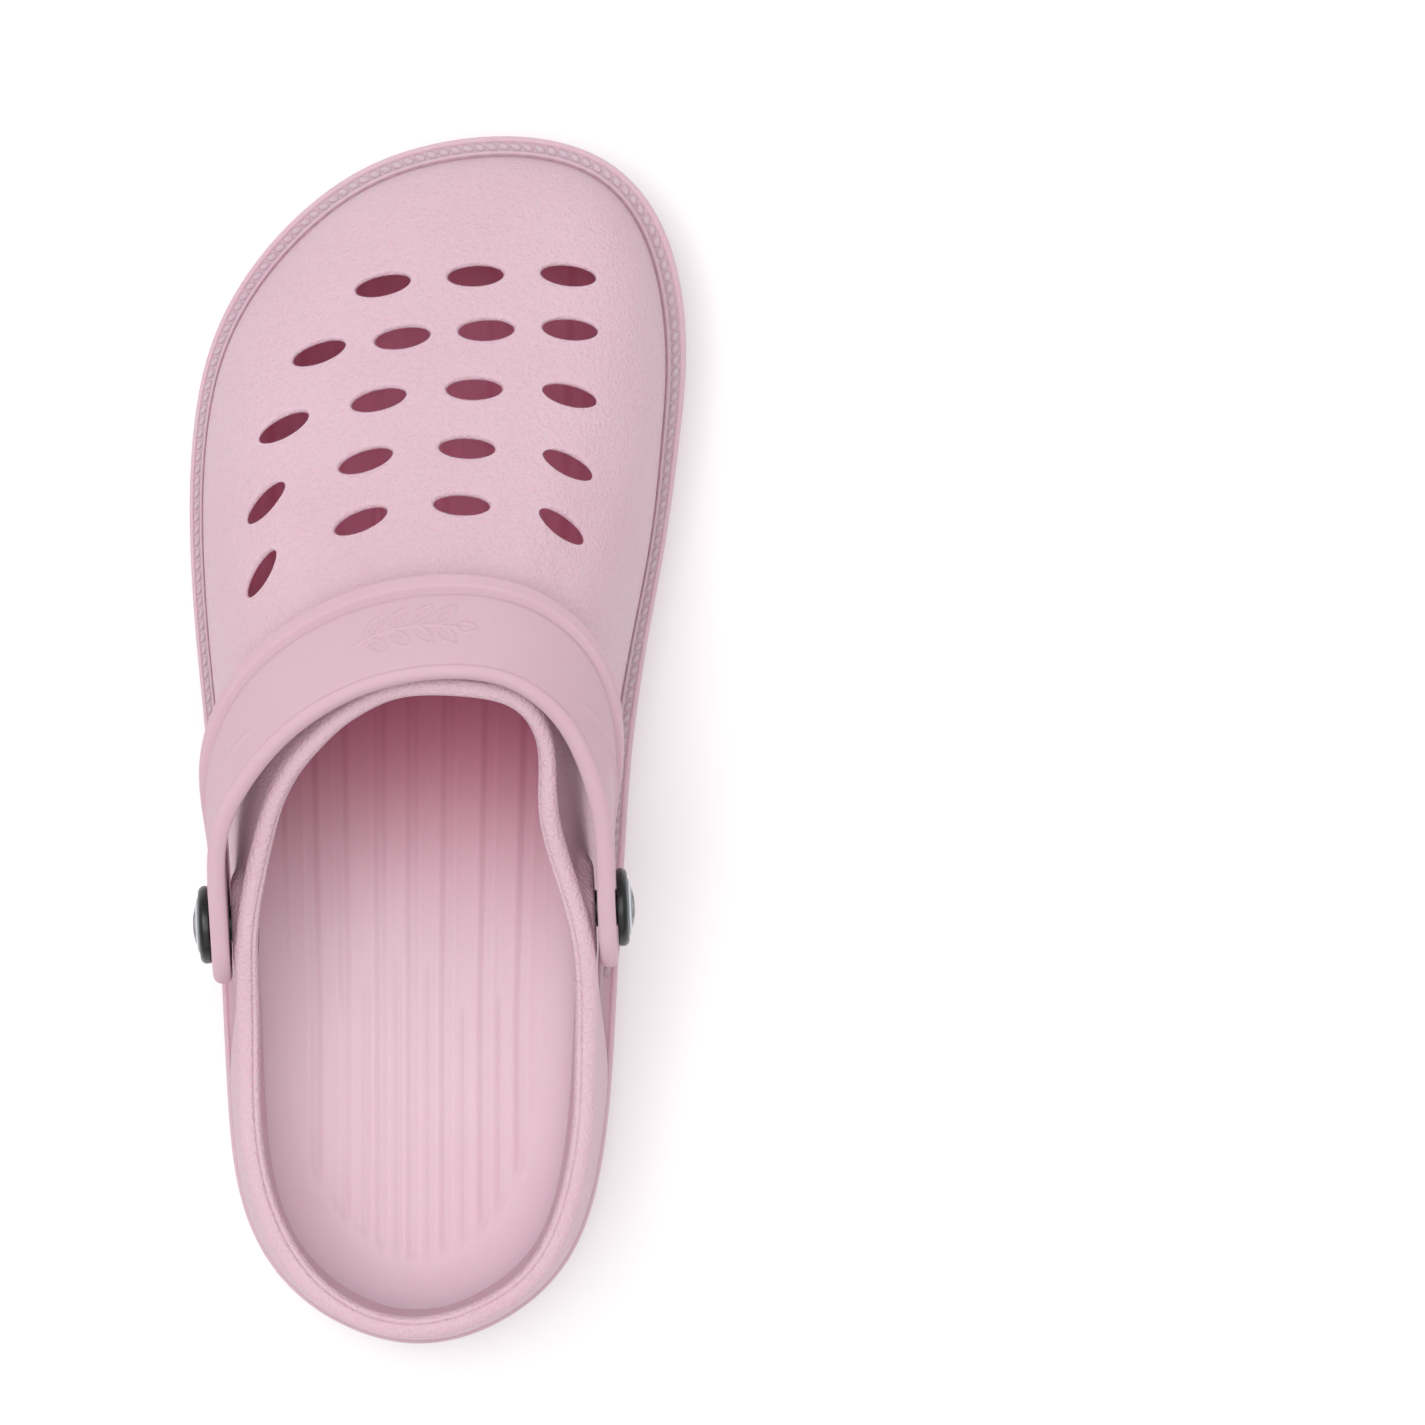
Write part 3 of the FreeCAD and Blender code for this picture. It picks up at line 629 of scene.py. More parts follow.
@dataclass
class Upper:
    """The foam upper: toe box, side walls, heel and rolled collar, with its vent slots."""
    last: Last
    pivot: Pivot
    columns: int = 435
    outer_rows: int = 80
    rim_rows: int = 44
    inner_rows: int = 40
    vent_length: float = 12.2
    vent_width: float = 4.8
    rim_bulge: float = 0.45
    rim_lift: float = 2.3
    rim_sink: float = 1.2
    pad_radius: float = 13.8
    seat_radius: float = 9.0

    def rim(self, t: np.ndarray, turn: np.ndarray) -> np.ndarray:
        """Rolled edge with a parting line: half an ellipse, turn 0 on the outer and pi on the inner skin."""
        line = self.last.wall_line(t, False)
        outer = line[3]
        inner = self.last.wall_line(t, True)[3]
        rise = unit(outer - line[2])
        thick = inner - outer
        half = np.linalg.norm(thick, axis=-1, keepdims=True) / 2
        thick = unit(thick)
        rise = unit(rise - thick * np.sum(rise * thick, -1, keepdims=True))
        groove = 0.4 * ridge(turn - 2.05, 0.42)
        bulge = half + self.rim_bulge - groove[..., None]
        lift = self.rim_lift - groove[..., None]
        centre = (outer + inner) / 2 - rise * self.rim_sink
        turn = turn[..., None]
        return centre - thick * bulge * np.cos(turn) + rise * lift * np.sin(turn)

    def skin(self) -> np.ndarray:
        """Closed grid, both ways: up the outside, over the rim, down the inside and under the foot."""
        t = np.linspace(0, COUNT, self.columns, endpoint=False)
        s_out = np.linspace(0, 1, self.outer_rows) ** 0.9
        s_in = np.linspace(1, 0, self.inner_rows)
        outer = self.last.wall_point(*np.broadcast_arrays(t[None], s_out[:, None]), False)
        inner = self.last.wall_point(*np.broadcast_arrays(t[None], s_in[:, None]), True)
        turn = np.linspace(0, math.pi, self.rim_rows)
        rim = self.rim(*np.broadcast_arrays(t[None], turn[:, None]))
        outer = self.meet(outer, rim[0])
        inner = self.meet(inner[::-1], rim[-1])[::-1]
        return np.concatenate([outer[:-1], rim, inner[1:]])

    @staticmethod
    def meet(wall: np.ndarray, end: np.ndarray) -> np.ndarray:
        """Bends the top of a wall so that its last row lands on the rim's first row.

        Each row moves by the gap at the top, eased in over the last few millimetres of the wall.
        """
        reach = np.linalg.norm(wall - wall[-1:], axis=-1)
        return wall + (end - wall[-1]) * (1 - ease(0.0, 5.0, reach))[..., None]

    def vent_spots(self) -> list[tuple[float, float, float]]:
        """Plan centre and turn of every slot; each row is a parabola from inner to outer side."""
        spots = []
        for (x0, y0), (x1, y1), count, bow in VENT_ROWS:
            for s in np.linspace(0, 1, count):
                x = x0 + (x1 - x0) * s + self.last.shift[0]
                y = y0 + (y1 - y0) * s + 4 * bow * s * (1 - s) + self.last.shift[1]
                slope = (y1 - y0 + 4 * bow * (1 - 2 * s)) / (x1 - x0)
                spots.append((x, y, math.atan(VENT_TURN * slope)))
        return spots

    def vent_cutter(self, skin: np.ndarray) -> Object:
        """All slots as closed plugs, each an ellipse level with the outer skin and flared at the mouth."""
        normals = unit(np.cross(np.gradient(skin, axis=1), np.gradient(skin, axis=0)))
        angle = np.linspace(0, 2 * math.pi, 56, endpoint=False)
        depth = PLUG_RINGS[:, :1, None]
        flare = PLUG_RINGS[:, 1:]
        plugs = []
        for x, y, turn in self.vent_spots():
            miss = np.hypot(skin[..., 0] - x, skin[..., 1] - y) + 1e3 * (skin[..., 2] < 35)
            spot = np.unravel_index(np.argmin(miss), miss.shape)
            normal = normals[spot] * np.sign(normals[spot][2])
            offset = np.array([x, y, skin[spot][2]]) - skin[spot]
            centre = skin[spot] + offset - UP * (normal[:2] @ offset[:2] / normal[2])
            long_way = np.array([math.cos(turn), math.sin(turn), 0.0])
            long_way = unit(long_way - normal * (long_way @ normal))
            short_way = np.cross(normal, long_way)
            a = (self.vent_length / 2 + flare) * np.cos(angle)
            b = (self.vent_width / 2 + flare) * np.sin(angle)
            ring = a[..., None] * long_way + b[..., None] * short_way
            ring = ring + centre + depth * np.where(depth > -2.0, normal, UP)
            ends = np.broadcast_to(ring[[0, -1]].mean(1, keepdims=True), (2, len(angle), 3))
            plug = grid_object("plug", np.concatenate([ends[:1], ring, ends[1:]]), False, True)
            close_up(plug)
            plugs.append(plug)
        return joined("plugs", plugs + stem_ways(self.pivot))

    def seat(self, skin: np.ndarray) -> np.ndarray:
        """Levels the wall to a flat pad under each boss of the strap, and inside under the rivets' heads."""
        run, radius = self.pivot.polar(skin)
        far = np.abs(run)
        outside = np.clip(far - np.where(radius < self.pad_radius, WALL_AT_PIVOT, BEYOND), 0, None)
        pad = ease(35.9, 36.8, far) * ease(14.0, 9.0, radius) * ease(67.0, 63.0, skin[..., 2])
        outside = outside - pad * np.clip(WALL_AT_PIVOT - 0.05 - far, 0, None)
        floor = np.where(radius < self.seat_radius, SEAT_AT_PIVOT, 0.0)
        inside = np.where((far > 28) & (far < 37.5), np.clip(floor - far, 0, None), 0)
        return skin + (np.sign(run) * (inside - outside))[..., None] * self.pivot.along

    def build(self, foam: Material) -> None:
        """Makes the upper and dresses it."""
        skin = self.seat(self.skin())
        obj = grid_object("vented_upper", skin, True, True)
        close_up(obj)
        carve(obj, self.vent_cutter(skin[:self.outer_rows]))
        smooth(obj, 50)
        settle(obj, foam, "shoe", "upper_shell")


# Arcs of the tread: centre behind the heel or beyond the toe, and radii.
TREAD_ARCS = (((-5.0, -190.0), (92, 104, 116, 128, 140)), ((8.0, 190.0), (82, 95, 108, 121, 134, 147, 160)))


@dataclass
class Sole:
    """The foam sole: flange with its rope moulding, side wall and tread."""
    last: Last
    columns: int = 580
    edge_drop: float = 1.15
    step_in: float = 0.9
    draw_in: float = 1.4
    ground_round: float = 2.2
    tread_depth: float = 2.5
    tread_width: float = 3.2
    tread_border: float = 14.0
    rope_place: float = 0.47
    rope_pitch: float = 2.65

    def on(self, profile: np.ndarray, plan: np.ndarray) -> np.ndarray:
        """Heights of a side profile over plan points."""
        return self.last.height(profile, plan[:, 1])

    def spokes(self, edge: np.ndarray, shares: tuple[float, ...]) -> list[np.ndarray]:
        """Rings of plan points between the middle of the foot, share 0, and an edge, share 1."""
        middle = self.last.shift[:2] - (2.0, 0.0)
        return [middle * (1 - share) + edge * share for share in shares]

    def well(self, t: np.ndarray) -> list[np.ndarray]:
        """Sections of the floor under the bed, and up to the top inside the wall's foot."""
        inner = self.last.foot(t, -self.last.wall)
        rows = [raised(plan, self.on(BED_TOP, plan) - BED_THICKNESS)
                for plan in self.spokes(inner, (0.0, 0.35, 0.7, 0.9, 1.0))]
        top = self.on(FLANGE_TOP, inner) - 0.6
        rows += [raised(inner, (rows[-1][:, 2] + top) / 2), raised(inner, top)]
        for out in (-3.5, -1.2, -0.3):
            plan = self.last.foot(t, out)
            rows.append(raised(plan, self.on(FLANGE_TOP, plan) - 0.6 * (out < -1)))
        return rows

    def flange(self, t: np.ndarray) -> list[np.ndarray]:
        """Sections of the flange, with u from the wall's foot to the edge.

        A round bead stands at u = 0.14, the rope's channel runs beside it and the edge turns down
        on a quarter circle.
        """
        width = self.last.column(t, Col.FLANGE)[..., 0]
        rows = []
        for u in np.linspace(0.0, 1.0, 27):
            turn = QUARTER * max(0.0, (u - 0.8) / 0.2)
            plan = self.last.foot(t, width * (min(u, 0.8) + 0.2 * math.sin(turn)))
            bead = 0.75 * ridge(4 * (u - 0.14), 1.5)
            channel = 0.35 * (ease(0.22, 0.32, u) - ease(0.66, 0.76, u))
            drop = self.edge_drop * (1 - math.cos(turn))
            rows.append(raised(plan, self.on(FLANGE_TOP, plan) + bead - channel - drop))
        return rows

    def side(self, t: np.ndarray) -> list[np.ndarray]:
        """Sections of the side wall, which steps in 4 mm below the edge and draws in to the ground."""
        edge = self.last.sole(t, 0.0)
        top = self.on(FLANGE_TOP, edge) - self.edge_drop
        full = top - self.last.under(edge[:, 1]) - self.ground_round
        step_rows = (0.5, 1.4, 2.4, 3.2, 3.6, 3.8, 4.0, 4.2, 4.4, 4.7, 5.0, 5.2, 5.4, 5.8, 6.4)
        drops = [np.full_like(full, depth) for depth in step_rows]
        drops += [drops[-1] + (full - drops[-1]) * share for share in np.linspace(0.08, 1, 14)]
        rows = []
        for drop in drops:
            lean = self.step_in * ease(3.6, 4.4, drop) - 0.35 * ridge(drop - 5.2, 1.2)
            lean = lean + self.draw_in * (drop / full) ** 2.2
            rows.append(raised(self.last.sole(t, -lean), top - drop))
        return rows

    def ground(self, t: np.ndarray) -> list[np.ndarray]:
        """Sections of the rounded lower edge and of the underside, to its middle."""
        lean = self.step_in + self.draw_in
        rows = []
        for turn in np.linspace(0.25, 1.0, 5) * QUARTER:
            plan = self.last.sole(t, -lean - self.ground_round * (1 - math.cos(turn)))
            lift = self.ground_round * (1 - math.sin(turn))
            rows.append(raised(plan, self.last.under(plan[:, 1]) + lift))
        edge = self.last.sole(t, -lean - self.ground_round)
        shares = (0.97, 0.93, 0.85, 0.75, 0.62, 0.48, 0.33, 0.17, 0.0)
        return rows + [raised(plan, self.last.under(plan[:, 1])) for plan in self.spokes(edge, shares)]

    def profile(self, t: np.ndarray) -> tuple[np.ndarray, np.ndarray]:
        """Closed sections of the sole at each t, and a map of the wall in millimetres for the hatching."""
        grid = np.stack(self.well(t) + self.flange(t) + self.side(t) + self.ground(t))
        edge = self.last.sole(t, 0.0)
        around = np.cumsum(np.linalg.norm(edge - np.roll(edge, 1, axis=0), axis=-1))
        around = (around - around[0]) * HATCH_MM * round(around[-1] / HATCH_MM) / around[-1]
        return grid, np.stack([np.broadcast_to(around, grid.shape[:2]), grid[..., 2]], -1)

    def rope(self) -> Object:
        """The rope moulding: a row of small slanted domes let into the flange's channel."""
        fine = np.linspace(0, COUNT, 6001)
        line = self.last.foot(fine, self.rope_place * self.last.column(fine, Col.FLANGE)[..., 0])
        run = run_length(line)
        count = int(run[-1] / self.rope_pitch)
        t = np.interp((np.arange(count) + 0.5) * run[-1] / count, run, fine)
        t = t[self.last.flare(t) < 0.15]
        flange = self.last.column(t, Col.FLANGE)[..., 0]
        plan = self.last.foot(t, self.rope_place * flange)
        out = self.last.outward(t, Col.FOOT_X, Col.FOOT_Y)
        along = np.stack([-out[:, 1], out[:, 0]], -1)
        slant = math.radians(24)
        long_way = (along * math.cos(slant) + out * math.sin(slant))[:, None, None]
        wide_way = (out * math.cos(slant) - along * math.sin(slant))[:, None, None]
        ring = np.linspace(0, 2 * math.pi, 10, endpoint=False)
        rise = np.radians([-60, -8, 30, 62, 90])
        a = 1.42 * np.cos(rise)[:, None] * np.cos(ring)
        b = (0.21 * flange)[:, None, None] * np.cos(rise)[:, None] * np.sin(ring)
        flat = plan[:, None, None] + a[..., None] * long_way + b[..., None] * wide_way
        z = (self.on(FLANGE_TOP, plan) - 0.4)[:, None, None] + 0.6 * np.sin(rise)[:, None]
        points = raised(flat, np.broadcast_to(z, flat.shape[:3]))
        quads = grid_quads(len(rise), len(ring), False, True)
        first = len(rise) * len(ring) * np.arange(len(t))[:, None, None]
        dome = mesh_object("rope", points.reshape(-1, 3), (quads + first).reshape(-1, 4))
        with editing(dome.data) as work:
            bmesh.ops.remove_doubles(work, verts=work.verts, dist=TINY_M)
            bmesh.ops.holes_fill(work, edges=[e for e in work.edges if e.is_boundary], sides=12)
            bmesh.ops.recalc_face_normals(work, faces=work.faces)
        return dome

    def tread_cutter(self) -> Object:
        """Arc channels struck from a point behind the heel and one beyond the toe."""
        outline = self.last.sole(np.linspace(0, COUNT, 400, endpoint=False), -self.tread_border)
        section = np.array([(-1, -4.0), (1, -4.0), (1, 0.6), (0.86, 1.0), (-0.86, 1.0), (-1, 0.6)])
        channels = []
        for middle, radii in TREAD_ARCS:
            centre = np.array(middle) + self.last.shift[:2]
            facing = -np.sign(middle[1])
            away = outline - centre
            reach = np.linalg.norm(away, axis=-1)
            bearing = np.arctan2(away[:, 0], away[:, 1] * facing)
            for radius in radii:
                left = bearing[np.argmin(np.abs(reach - radius) + 1e3 * (bearing > 0))]
                right = bearing[np.argmin(np.abs(reach - radius) + 1e3 * (bearing < 0))]
                angle = np.linspace(left, right, 70)
                far = radius + section[:, :1] * self.tread_width / 2
                py = centre[1] + far * np.cos(angle) * facing
                pz = self.last.under(py) + self.tread_depth * section[:, 1:]
                ring = np.stack([centre[0] + far * np.sin(angle), py, pz], -1)
                caps = np.broadcast_to(ring[:, [0, -1]].mean(0), (len(section), 2, 3))
                full = np.concatenate([caps[:, :1], ring, caps[:, 1:]], 1)
                channel = grid_object("channel", full, True, False)
                close_up(channel)
                channels.append(channel)
        return joined("channels", channels)

    def build(self, foam: Material) -> None:
        """Makes the sole and dresses it."""
        t = np.linspace(0, COUNT, self.columns, endpoint=False)
        grid, wall_map = self.profile(t)
        body = grid_object("sole_body", grid, False, True)
        paint_map(body, "Wall", wall_map.reshape(-1, 2), wall_map[0, 1, 0])
        close_up(body)
        carve(body, self.tread_cutter())
        rope = self.rope()
        paint_map(rope, "Wall", np.zeros((len(rope.data.vertices), 2)))
        obj = joined("flanged_sole", [body, rope])
        smooth(obj, 48)
        settle(obj, foam, "shoe", "outsole")


@dataclass
class Footbed:
    """The insole bed: a ribbed tray whose edge sweeps up to the wall."""
    last: Last
    across: int = 210
    along: int = 190
    thickness: float = BED_THICKNESS - 0.1
    shrink: float = 0.965
    middle_x: float = -5.0
    main_grooves: tuple[float, ...] = (-35.2, -27.9, -21.3, -13.0, -5.9, 1.8, 10.5, 18.9, 26.0)
    fine_grooves: tuple[tuple[float, float], ...] = (
        (-23.1, -57.8), (-16.5, -52.7), (-9.0, -47.5), (-1.8, -49.0), (6.2, -57.8), (14.4, -55.9))

    def outline(self) -> np.ndarray:
        """Closed plan outline, on the wall's inner skin at the height where the bed's edge meets it."""
        t = np.linspace(0, COUNT, 480, endpoint=False)
        s = np.linspace(0, 1, 60)
        wall = self.last.wall_point(*np.broadcast_arrays(t[:, None], s[None]), True)
        meets = self.last.height(BED_TOP, wall[:, 0, 1]) + 0.75 * self.sweep(wall[:, 0, 1])
        row = np.argmax(wall[..., 2] > meets[:, None], axis=1)
        before, after = wall[np.arange(len(t)), row - 1], wall[np.arange(len(t)), row]
        share = ((meets - before[:, 2]) / (after[:, 2] - before[:, 2]))[:, None]
        plan = (before * (1 - share) + after * share)[:, :2]
        return plan + self.last.outward(t, Col.FOOT_X, Col.FOOT_Y) * 0.5

    def sweep(self, y: np.ndarray) -> np.ndarray:
        """Radius of the swept-up edge: larger round the heel."""
        return 8.5 + 5.5 * ease(-80, -112, y - self.last.shift[1])

    def plan_grid(self) -> np.ndarray:
        """(along, across, 2) plan points; every row runs from the outer to the inner edge."""
        outline = self.outline()
        low, high = np.argmin(outline[:, 1]), np.argmax(outline[:, 1])
        loop = np.roll(outline, -low, axis=0)
        top = (high - low) % len(outline)
        medial, lateral = loop[:top + 1], np.concatenate([loop[top:], loop[:1]])[::-1]
        share = (1 - np.cos(np.linspace(0, math.pi, self.along))) / 2
        y = loop[0, 1] + (loop[top, 1] - loop[0, 1]) * (0.35 * share + 0.65 * np.linspace(0, 1, self.along))
        left = np.interp(y, lateral[:, 1], lateral[:, 0])
        right = np.interp(y, medial[:, 1], medial[:, 0])
        s = np.linspace(0, 1, self.across)
        x = left[:, None] * (1 - s) + right[:, None] * s
        return np.stack([x, np.broadcast_to(y[:, None], x.shape)], -1)

    def gap(self, plan: np.ndarray) -> np.ndarray:
        """Distance of plan points from the outline, a stretch of the outline at a time."""
        edge = self.outline()
        edge = closed_cubic(edge, np.linspace(0, len(edge), 2800, endpoint=False))
        best = np.full(plan.shape[:2], np.inf)
        for part in np.array_split(edge, 28):
            away = np.hypot(plan[..., 0, None] - part[:, 0], plan[..., 1, None] - part[:, 1])
            best = np.minimum(best, away.min(-1))
        return best

    def top(self, plan: np.ndarray) -> np.ndarray:
        """Heights of the bed: side profile, a quarter-round sweep at the edge, and grooves.

        The sweep is R - sqrt(R^2 - (R - d)^2) for a distance d from the wall under R. A main
        groove is a bell across x that fans out a little towards the toe. A fine one starts at
        its own y and runs to the heel.
        """
        x, y = plan[..., 0] - self.last.shift[0], plan[..., 1] - self.last.shift[1]
        gap = self.gap(plan)
        radius = self.sweep(plan[..., 1])
        inside = np.clip(radius - gap, 0, radius * 0.97)
        z = self.last.height(BED_TOP, plan[..., 1]) + radius - np.sqrt(radius ** 2 - inside ** 2)
        fan = 1 + 0.0011 * np.clip(y + 20, -40, 120)
        spread = self.middle_x + (x - self.middle_x) / fan
        relief = np.zeros_like(x)
        for place in self.main_grooves:
            relief += 0.62 * ridge(spread - place, 2.7) - 0.18 * ridge(np.abs(spread - place) - 1.9, 1.8)
        for place, start in self.fine_grooves:
            relief += 0.5 * ridge(spread - place, 2.1) * ease(start + 1.5, start - 2.5, y)
        arc = 0.3 * ridge(gap - radius * 0.8, 2.6) * ease(-62, -84, y)
        return z - relief * ease(radius * 0.7, radius * 0.95, gap) + arc

    def build(self, foam: Material) -> None:
        """Makes the bed and dresses it."""
        plan = self.plan_grid()
        top = raised(plan, self.top(plan))
        middle = plan.mean((0, 1))
        base = self.last.height(BED_TOP, plan[..., 1]) - self.thickness
        low = raised(middle + (plan - middle) * self.shrink, base)
        rows, columns = plan.shape[:2]
        skin = np.concatenate([top.reshape(-1, 3), low.reshape(-1, 3)])
        quads = grid_quads(rows, columns, False, False)
        size = rows * columns
        index = np.arange(size).reshape(rows, columns)
        border = np.concatenate([index[0, :-1], index[:-1, -1], index[-1, :0:-1], index[:0:-1, 0]])
        after = np.roll(border, -1)
        side = np.stack([border, after, after + size, border + size], -1)
        obj = mesh_object("ribbed_bed", skin, np.concatenate([quads, quads[:, ::-1] + size, side]))
        close_up(obj)
        smooth(obj, 60)
        settle(obj, foam, "shoe", "footbed")


@dataclass
class Strap:
    """The heel strap: a band bent round a U, with a bead along its edges and round bosses."""
    pivot: Pivot
    half_width: float = 12.6
    boss: float = 13.0
    half_thick: float = 2.0
    side_points: int = 470
    end_points: int = 44
    bead_reach: float = 6.2
    top_round: float = 1.7
    low_round: float = 1.2
    path: tuple[tuple[float, float, float], ...] = (
        (-42.1, 0, 0), (-42.1, 14, 0), (-41.9, 27, 4), (-37.7, 42, 15), (-28.5, 55.5, 24),
        (-12, 67, 29), (8, 71.4, 31), (25, 68.2, 29), (36.9, 57, 23), (42.0, 42, 14), (43.0, 27, 5),
        (42.2, 13, 0), (42.1, 0, 0))

    def __post_init__(self) -> None:
        """Samples the path by its length: place along the pivot line, reach and lean."""
        knots = np.array(self.path, dtype=float)
        chord = run_length(knots)
        self.fine = open_cubic(chord, knots, np.linspace(0, chord[-1], 3000))
        self.run = run_length(self.fine[:, :2])
        self.length = float(self.run[-1])

    def surface(self, q: np.ndarray, w: np.ndarray, h: np.ndarray) -> np.ndarray:
        """Points of the band from length q, width w and height h above the middle sheet.

        The sheet's frame turns with the path: out is the path's normal in the plane of the U, and
        lean tips the width towards the foot. Before 0 and past the end the band runs straight on.
        """
        held = np.clip(q, 0, self.length)
        step = 0.4
        place = self.at(held)
        ahead = self.at(np.clip(held + step, 0, self.length)) - self.at(np.clip(held - step, 0, self.length))
        along = unit(ahead[..., :2])
        over = (q - held)[..., None]
        spot = place[..., :2] + along * over
        lean = np.radians(np.clip(place[..., 2], 0, None))[..., None]
        out = along[..., :1] * self.pivot.reach - along[..., 1:] * self.pivot.along
        wide = np.cos(lean) * self.pivot.across - np.sin(lean) * out
        thick = np.cos(lean) * out + np.sin(lean) * self.pivot.across
        base = self.pivot.origin + spot[..., :1] * self.pivot.along + spot[..., 1:] * self.pivot.reach
        return base + w[..., None] * wide + h[..., None] * thick

    def at(self, q: np.ndarray) -> np.ndarray:
        """Path values at lengths q."""
        return np.stack([np.interp(q, self.run, self.fine[:, k]) for k in range(3)], -1)

    def loops(self, inset: np.ndarray) -> tuple[np.ndarray, np.ndarray]:
        """Length q and width w of stadium loops round the band, one for each inset from its edge."""
        straight, cap = self.side_points, self.end_points
        share = np.linspace(0, 1, straight, endpoint=False)
        angle = np.linspace(-math.pi / 2, math.pi / 2, cap, endpoint=False)
        q_line = self.length * np.concatenate([share, np.ones(cap), 1 - share, np.zeros(cap)])
        cos = np.concatenate([np.zeros(straight), np.cos(angle), np.zeros(straight), -np.cos(angle)])
        sin = np.concatenate([-np.ones(straight), np.sin(angle), np.ones(straight), -np.sin(angle)])
        near_end = ease(26, 8, np.minimum(q_line, self.length - q_line))
        wide = self.half_width + (self.boss - self.half_width) * near_end
        left = wide * (1 - inset[:, None] / self.half_width)
        return q_line + left * cos, left * sin

    def relief(self, q: np.ndarray, w: np.ndarray, inset: np.ndarray) -> np.ndarray:
        """Height of the outer face over the panel: edge rolls, front bead, ridges and sprig."""
        front = ease(2.0, -2.0, w)
        middle = ease(8, 34, q) * ease(self.length - 8, self.length - 34, q)
        bead = 1.15 * ease(5.0, 3.6, inset) - 0.35 * ridge(inset - 5.0, 1.5)
        bead = front * bead * (0.25 + 0.75 * middle)
        roll = (1 - front) * (0.35 * ease(2.6, 1.7, inset) - 0.22 * ridge(inset - 2.5, 1.1))
        border = 0.35 * ease(3.4, 2.2, inset) * (1 - middle)
        height = bead + roll + border * front
        high, low = 4.5, -5.5
        for start, end in ((54.0, 20.0), (self.length - 54.0, self.length - 20.0)):
            dq, dw = end - start, low - high
            size = math.hypot(dq, dw)
            along = ((q - start) * dq + (w - high) * dw) / size
            bow = 1.6 * np.sin(math.pi * np.clip(along / size, 0, 1))
            off = ((w - high) * dq - (q - start) * dw) / size + bow
            height += 0.55 * ridge(off, 2.2) * ease(-2, 5, along) * ease(size + 2, size - 8, along)
        return height + self.sprig(q - self.length / 2 + 2.0, w - 0.8)

    @staticmethod
    def sprig(u: np.ndarray, v: np.ndarray) -> np.ndarray:
        """Raised line drawing of a leafy sprig: a stem and almond leaves on both sides.

        A leaf of length L and width W leaves the stem at an angle; with a along it and b across,
        its outline is b = W/2 sin(pi a / L).
        """
        line = 0.75
        height = ridge(v - 0.010 * u * u + 0.6, line) * ease(-13, -11.5, u) * ease(12.0, 10.5, u)
        leaves = [(-9.0 + 5.0 * k, side) for k in range(4) for side in (-1, 1)] + [(10.0, 0)]
        for root, side in leaves:
            root_v = 0.010 * root * root - 0.6
            angle = math.radians(48 * side) if side else 0.0
            a = (u - root) * math.cos(angle) + (v - root_v) * math.sin(angle)
            b = -(u - root) * math.sin(angle) + (v - root_v) * math.cos(angle)
            size, wide = (6.4, 2.7) if side else (5.0, 2.4)
            inside = np.clip(a / size, 0, 1)
            gap = np.abs(b) - wide / 2 * np.sin(math.pi * inside)
            near = ease(-0.5, 0.2, a) * ease(size + 0.5, size - 0.2, a)
            vein = 0.7 * ridge(b, 0.6) * ease(0.4, 1.2, a) * ease(size * 0.8, size * 0.6, a)
            height = np.maximum.reduce([height, ridge(gap, line) * near, vein])
        return 0.42 * height

    @staticmethod
    def rounded(inset: np.ndarray, radius: float) -> np.ndarray:
        """Share of the full height at each inset, on a quarter circle at the edge."""
        return np.sqrt(1 - (1 - np.clip(inset / radius, 0, 1)) ** 2)[:, None]

    def build(self, foam: Material) -> None:
        """Makes the strap and dresses it."""
        near = self.bead_reach * np.linspace(0, 1, 30) ** 1.15
        inset = np.concatenate([near, np.linspace(self.bead_reach, self.half_width, 24)[1:]])
        q, w = self.loops(inset)
        panel = self.half_thick - 0.45
        face = panel + self.relief(q, w, np.broadcast_to(inset[:, None], q.shape))
        top = self.surface(q, w, self.rounded(inset, self.top_round) * face)
        near = self.low_round * np.linspace(0, 1, 8)
        inset = np.concatenate([near, np.linspace(self.low_round, self.half_width, 8)[1:]])
        q, w = self.loops(inset)
        under = -self.half_thick * self.rounded(inset, self.low_round)
        low = self.surface(q, w, np.broadcast_to(under, q.shape))
        obj = grid_object("heel_band", np.concatenate([top[::-1], low[1:]]), False, True)
        close_up(obj)
        carve(obj, joined("holes", stem_ways(self.pivot)))
        smooth(obj, 50)
        settle(obj, foam, "strap", "heel_strap")


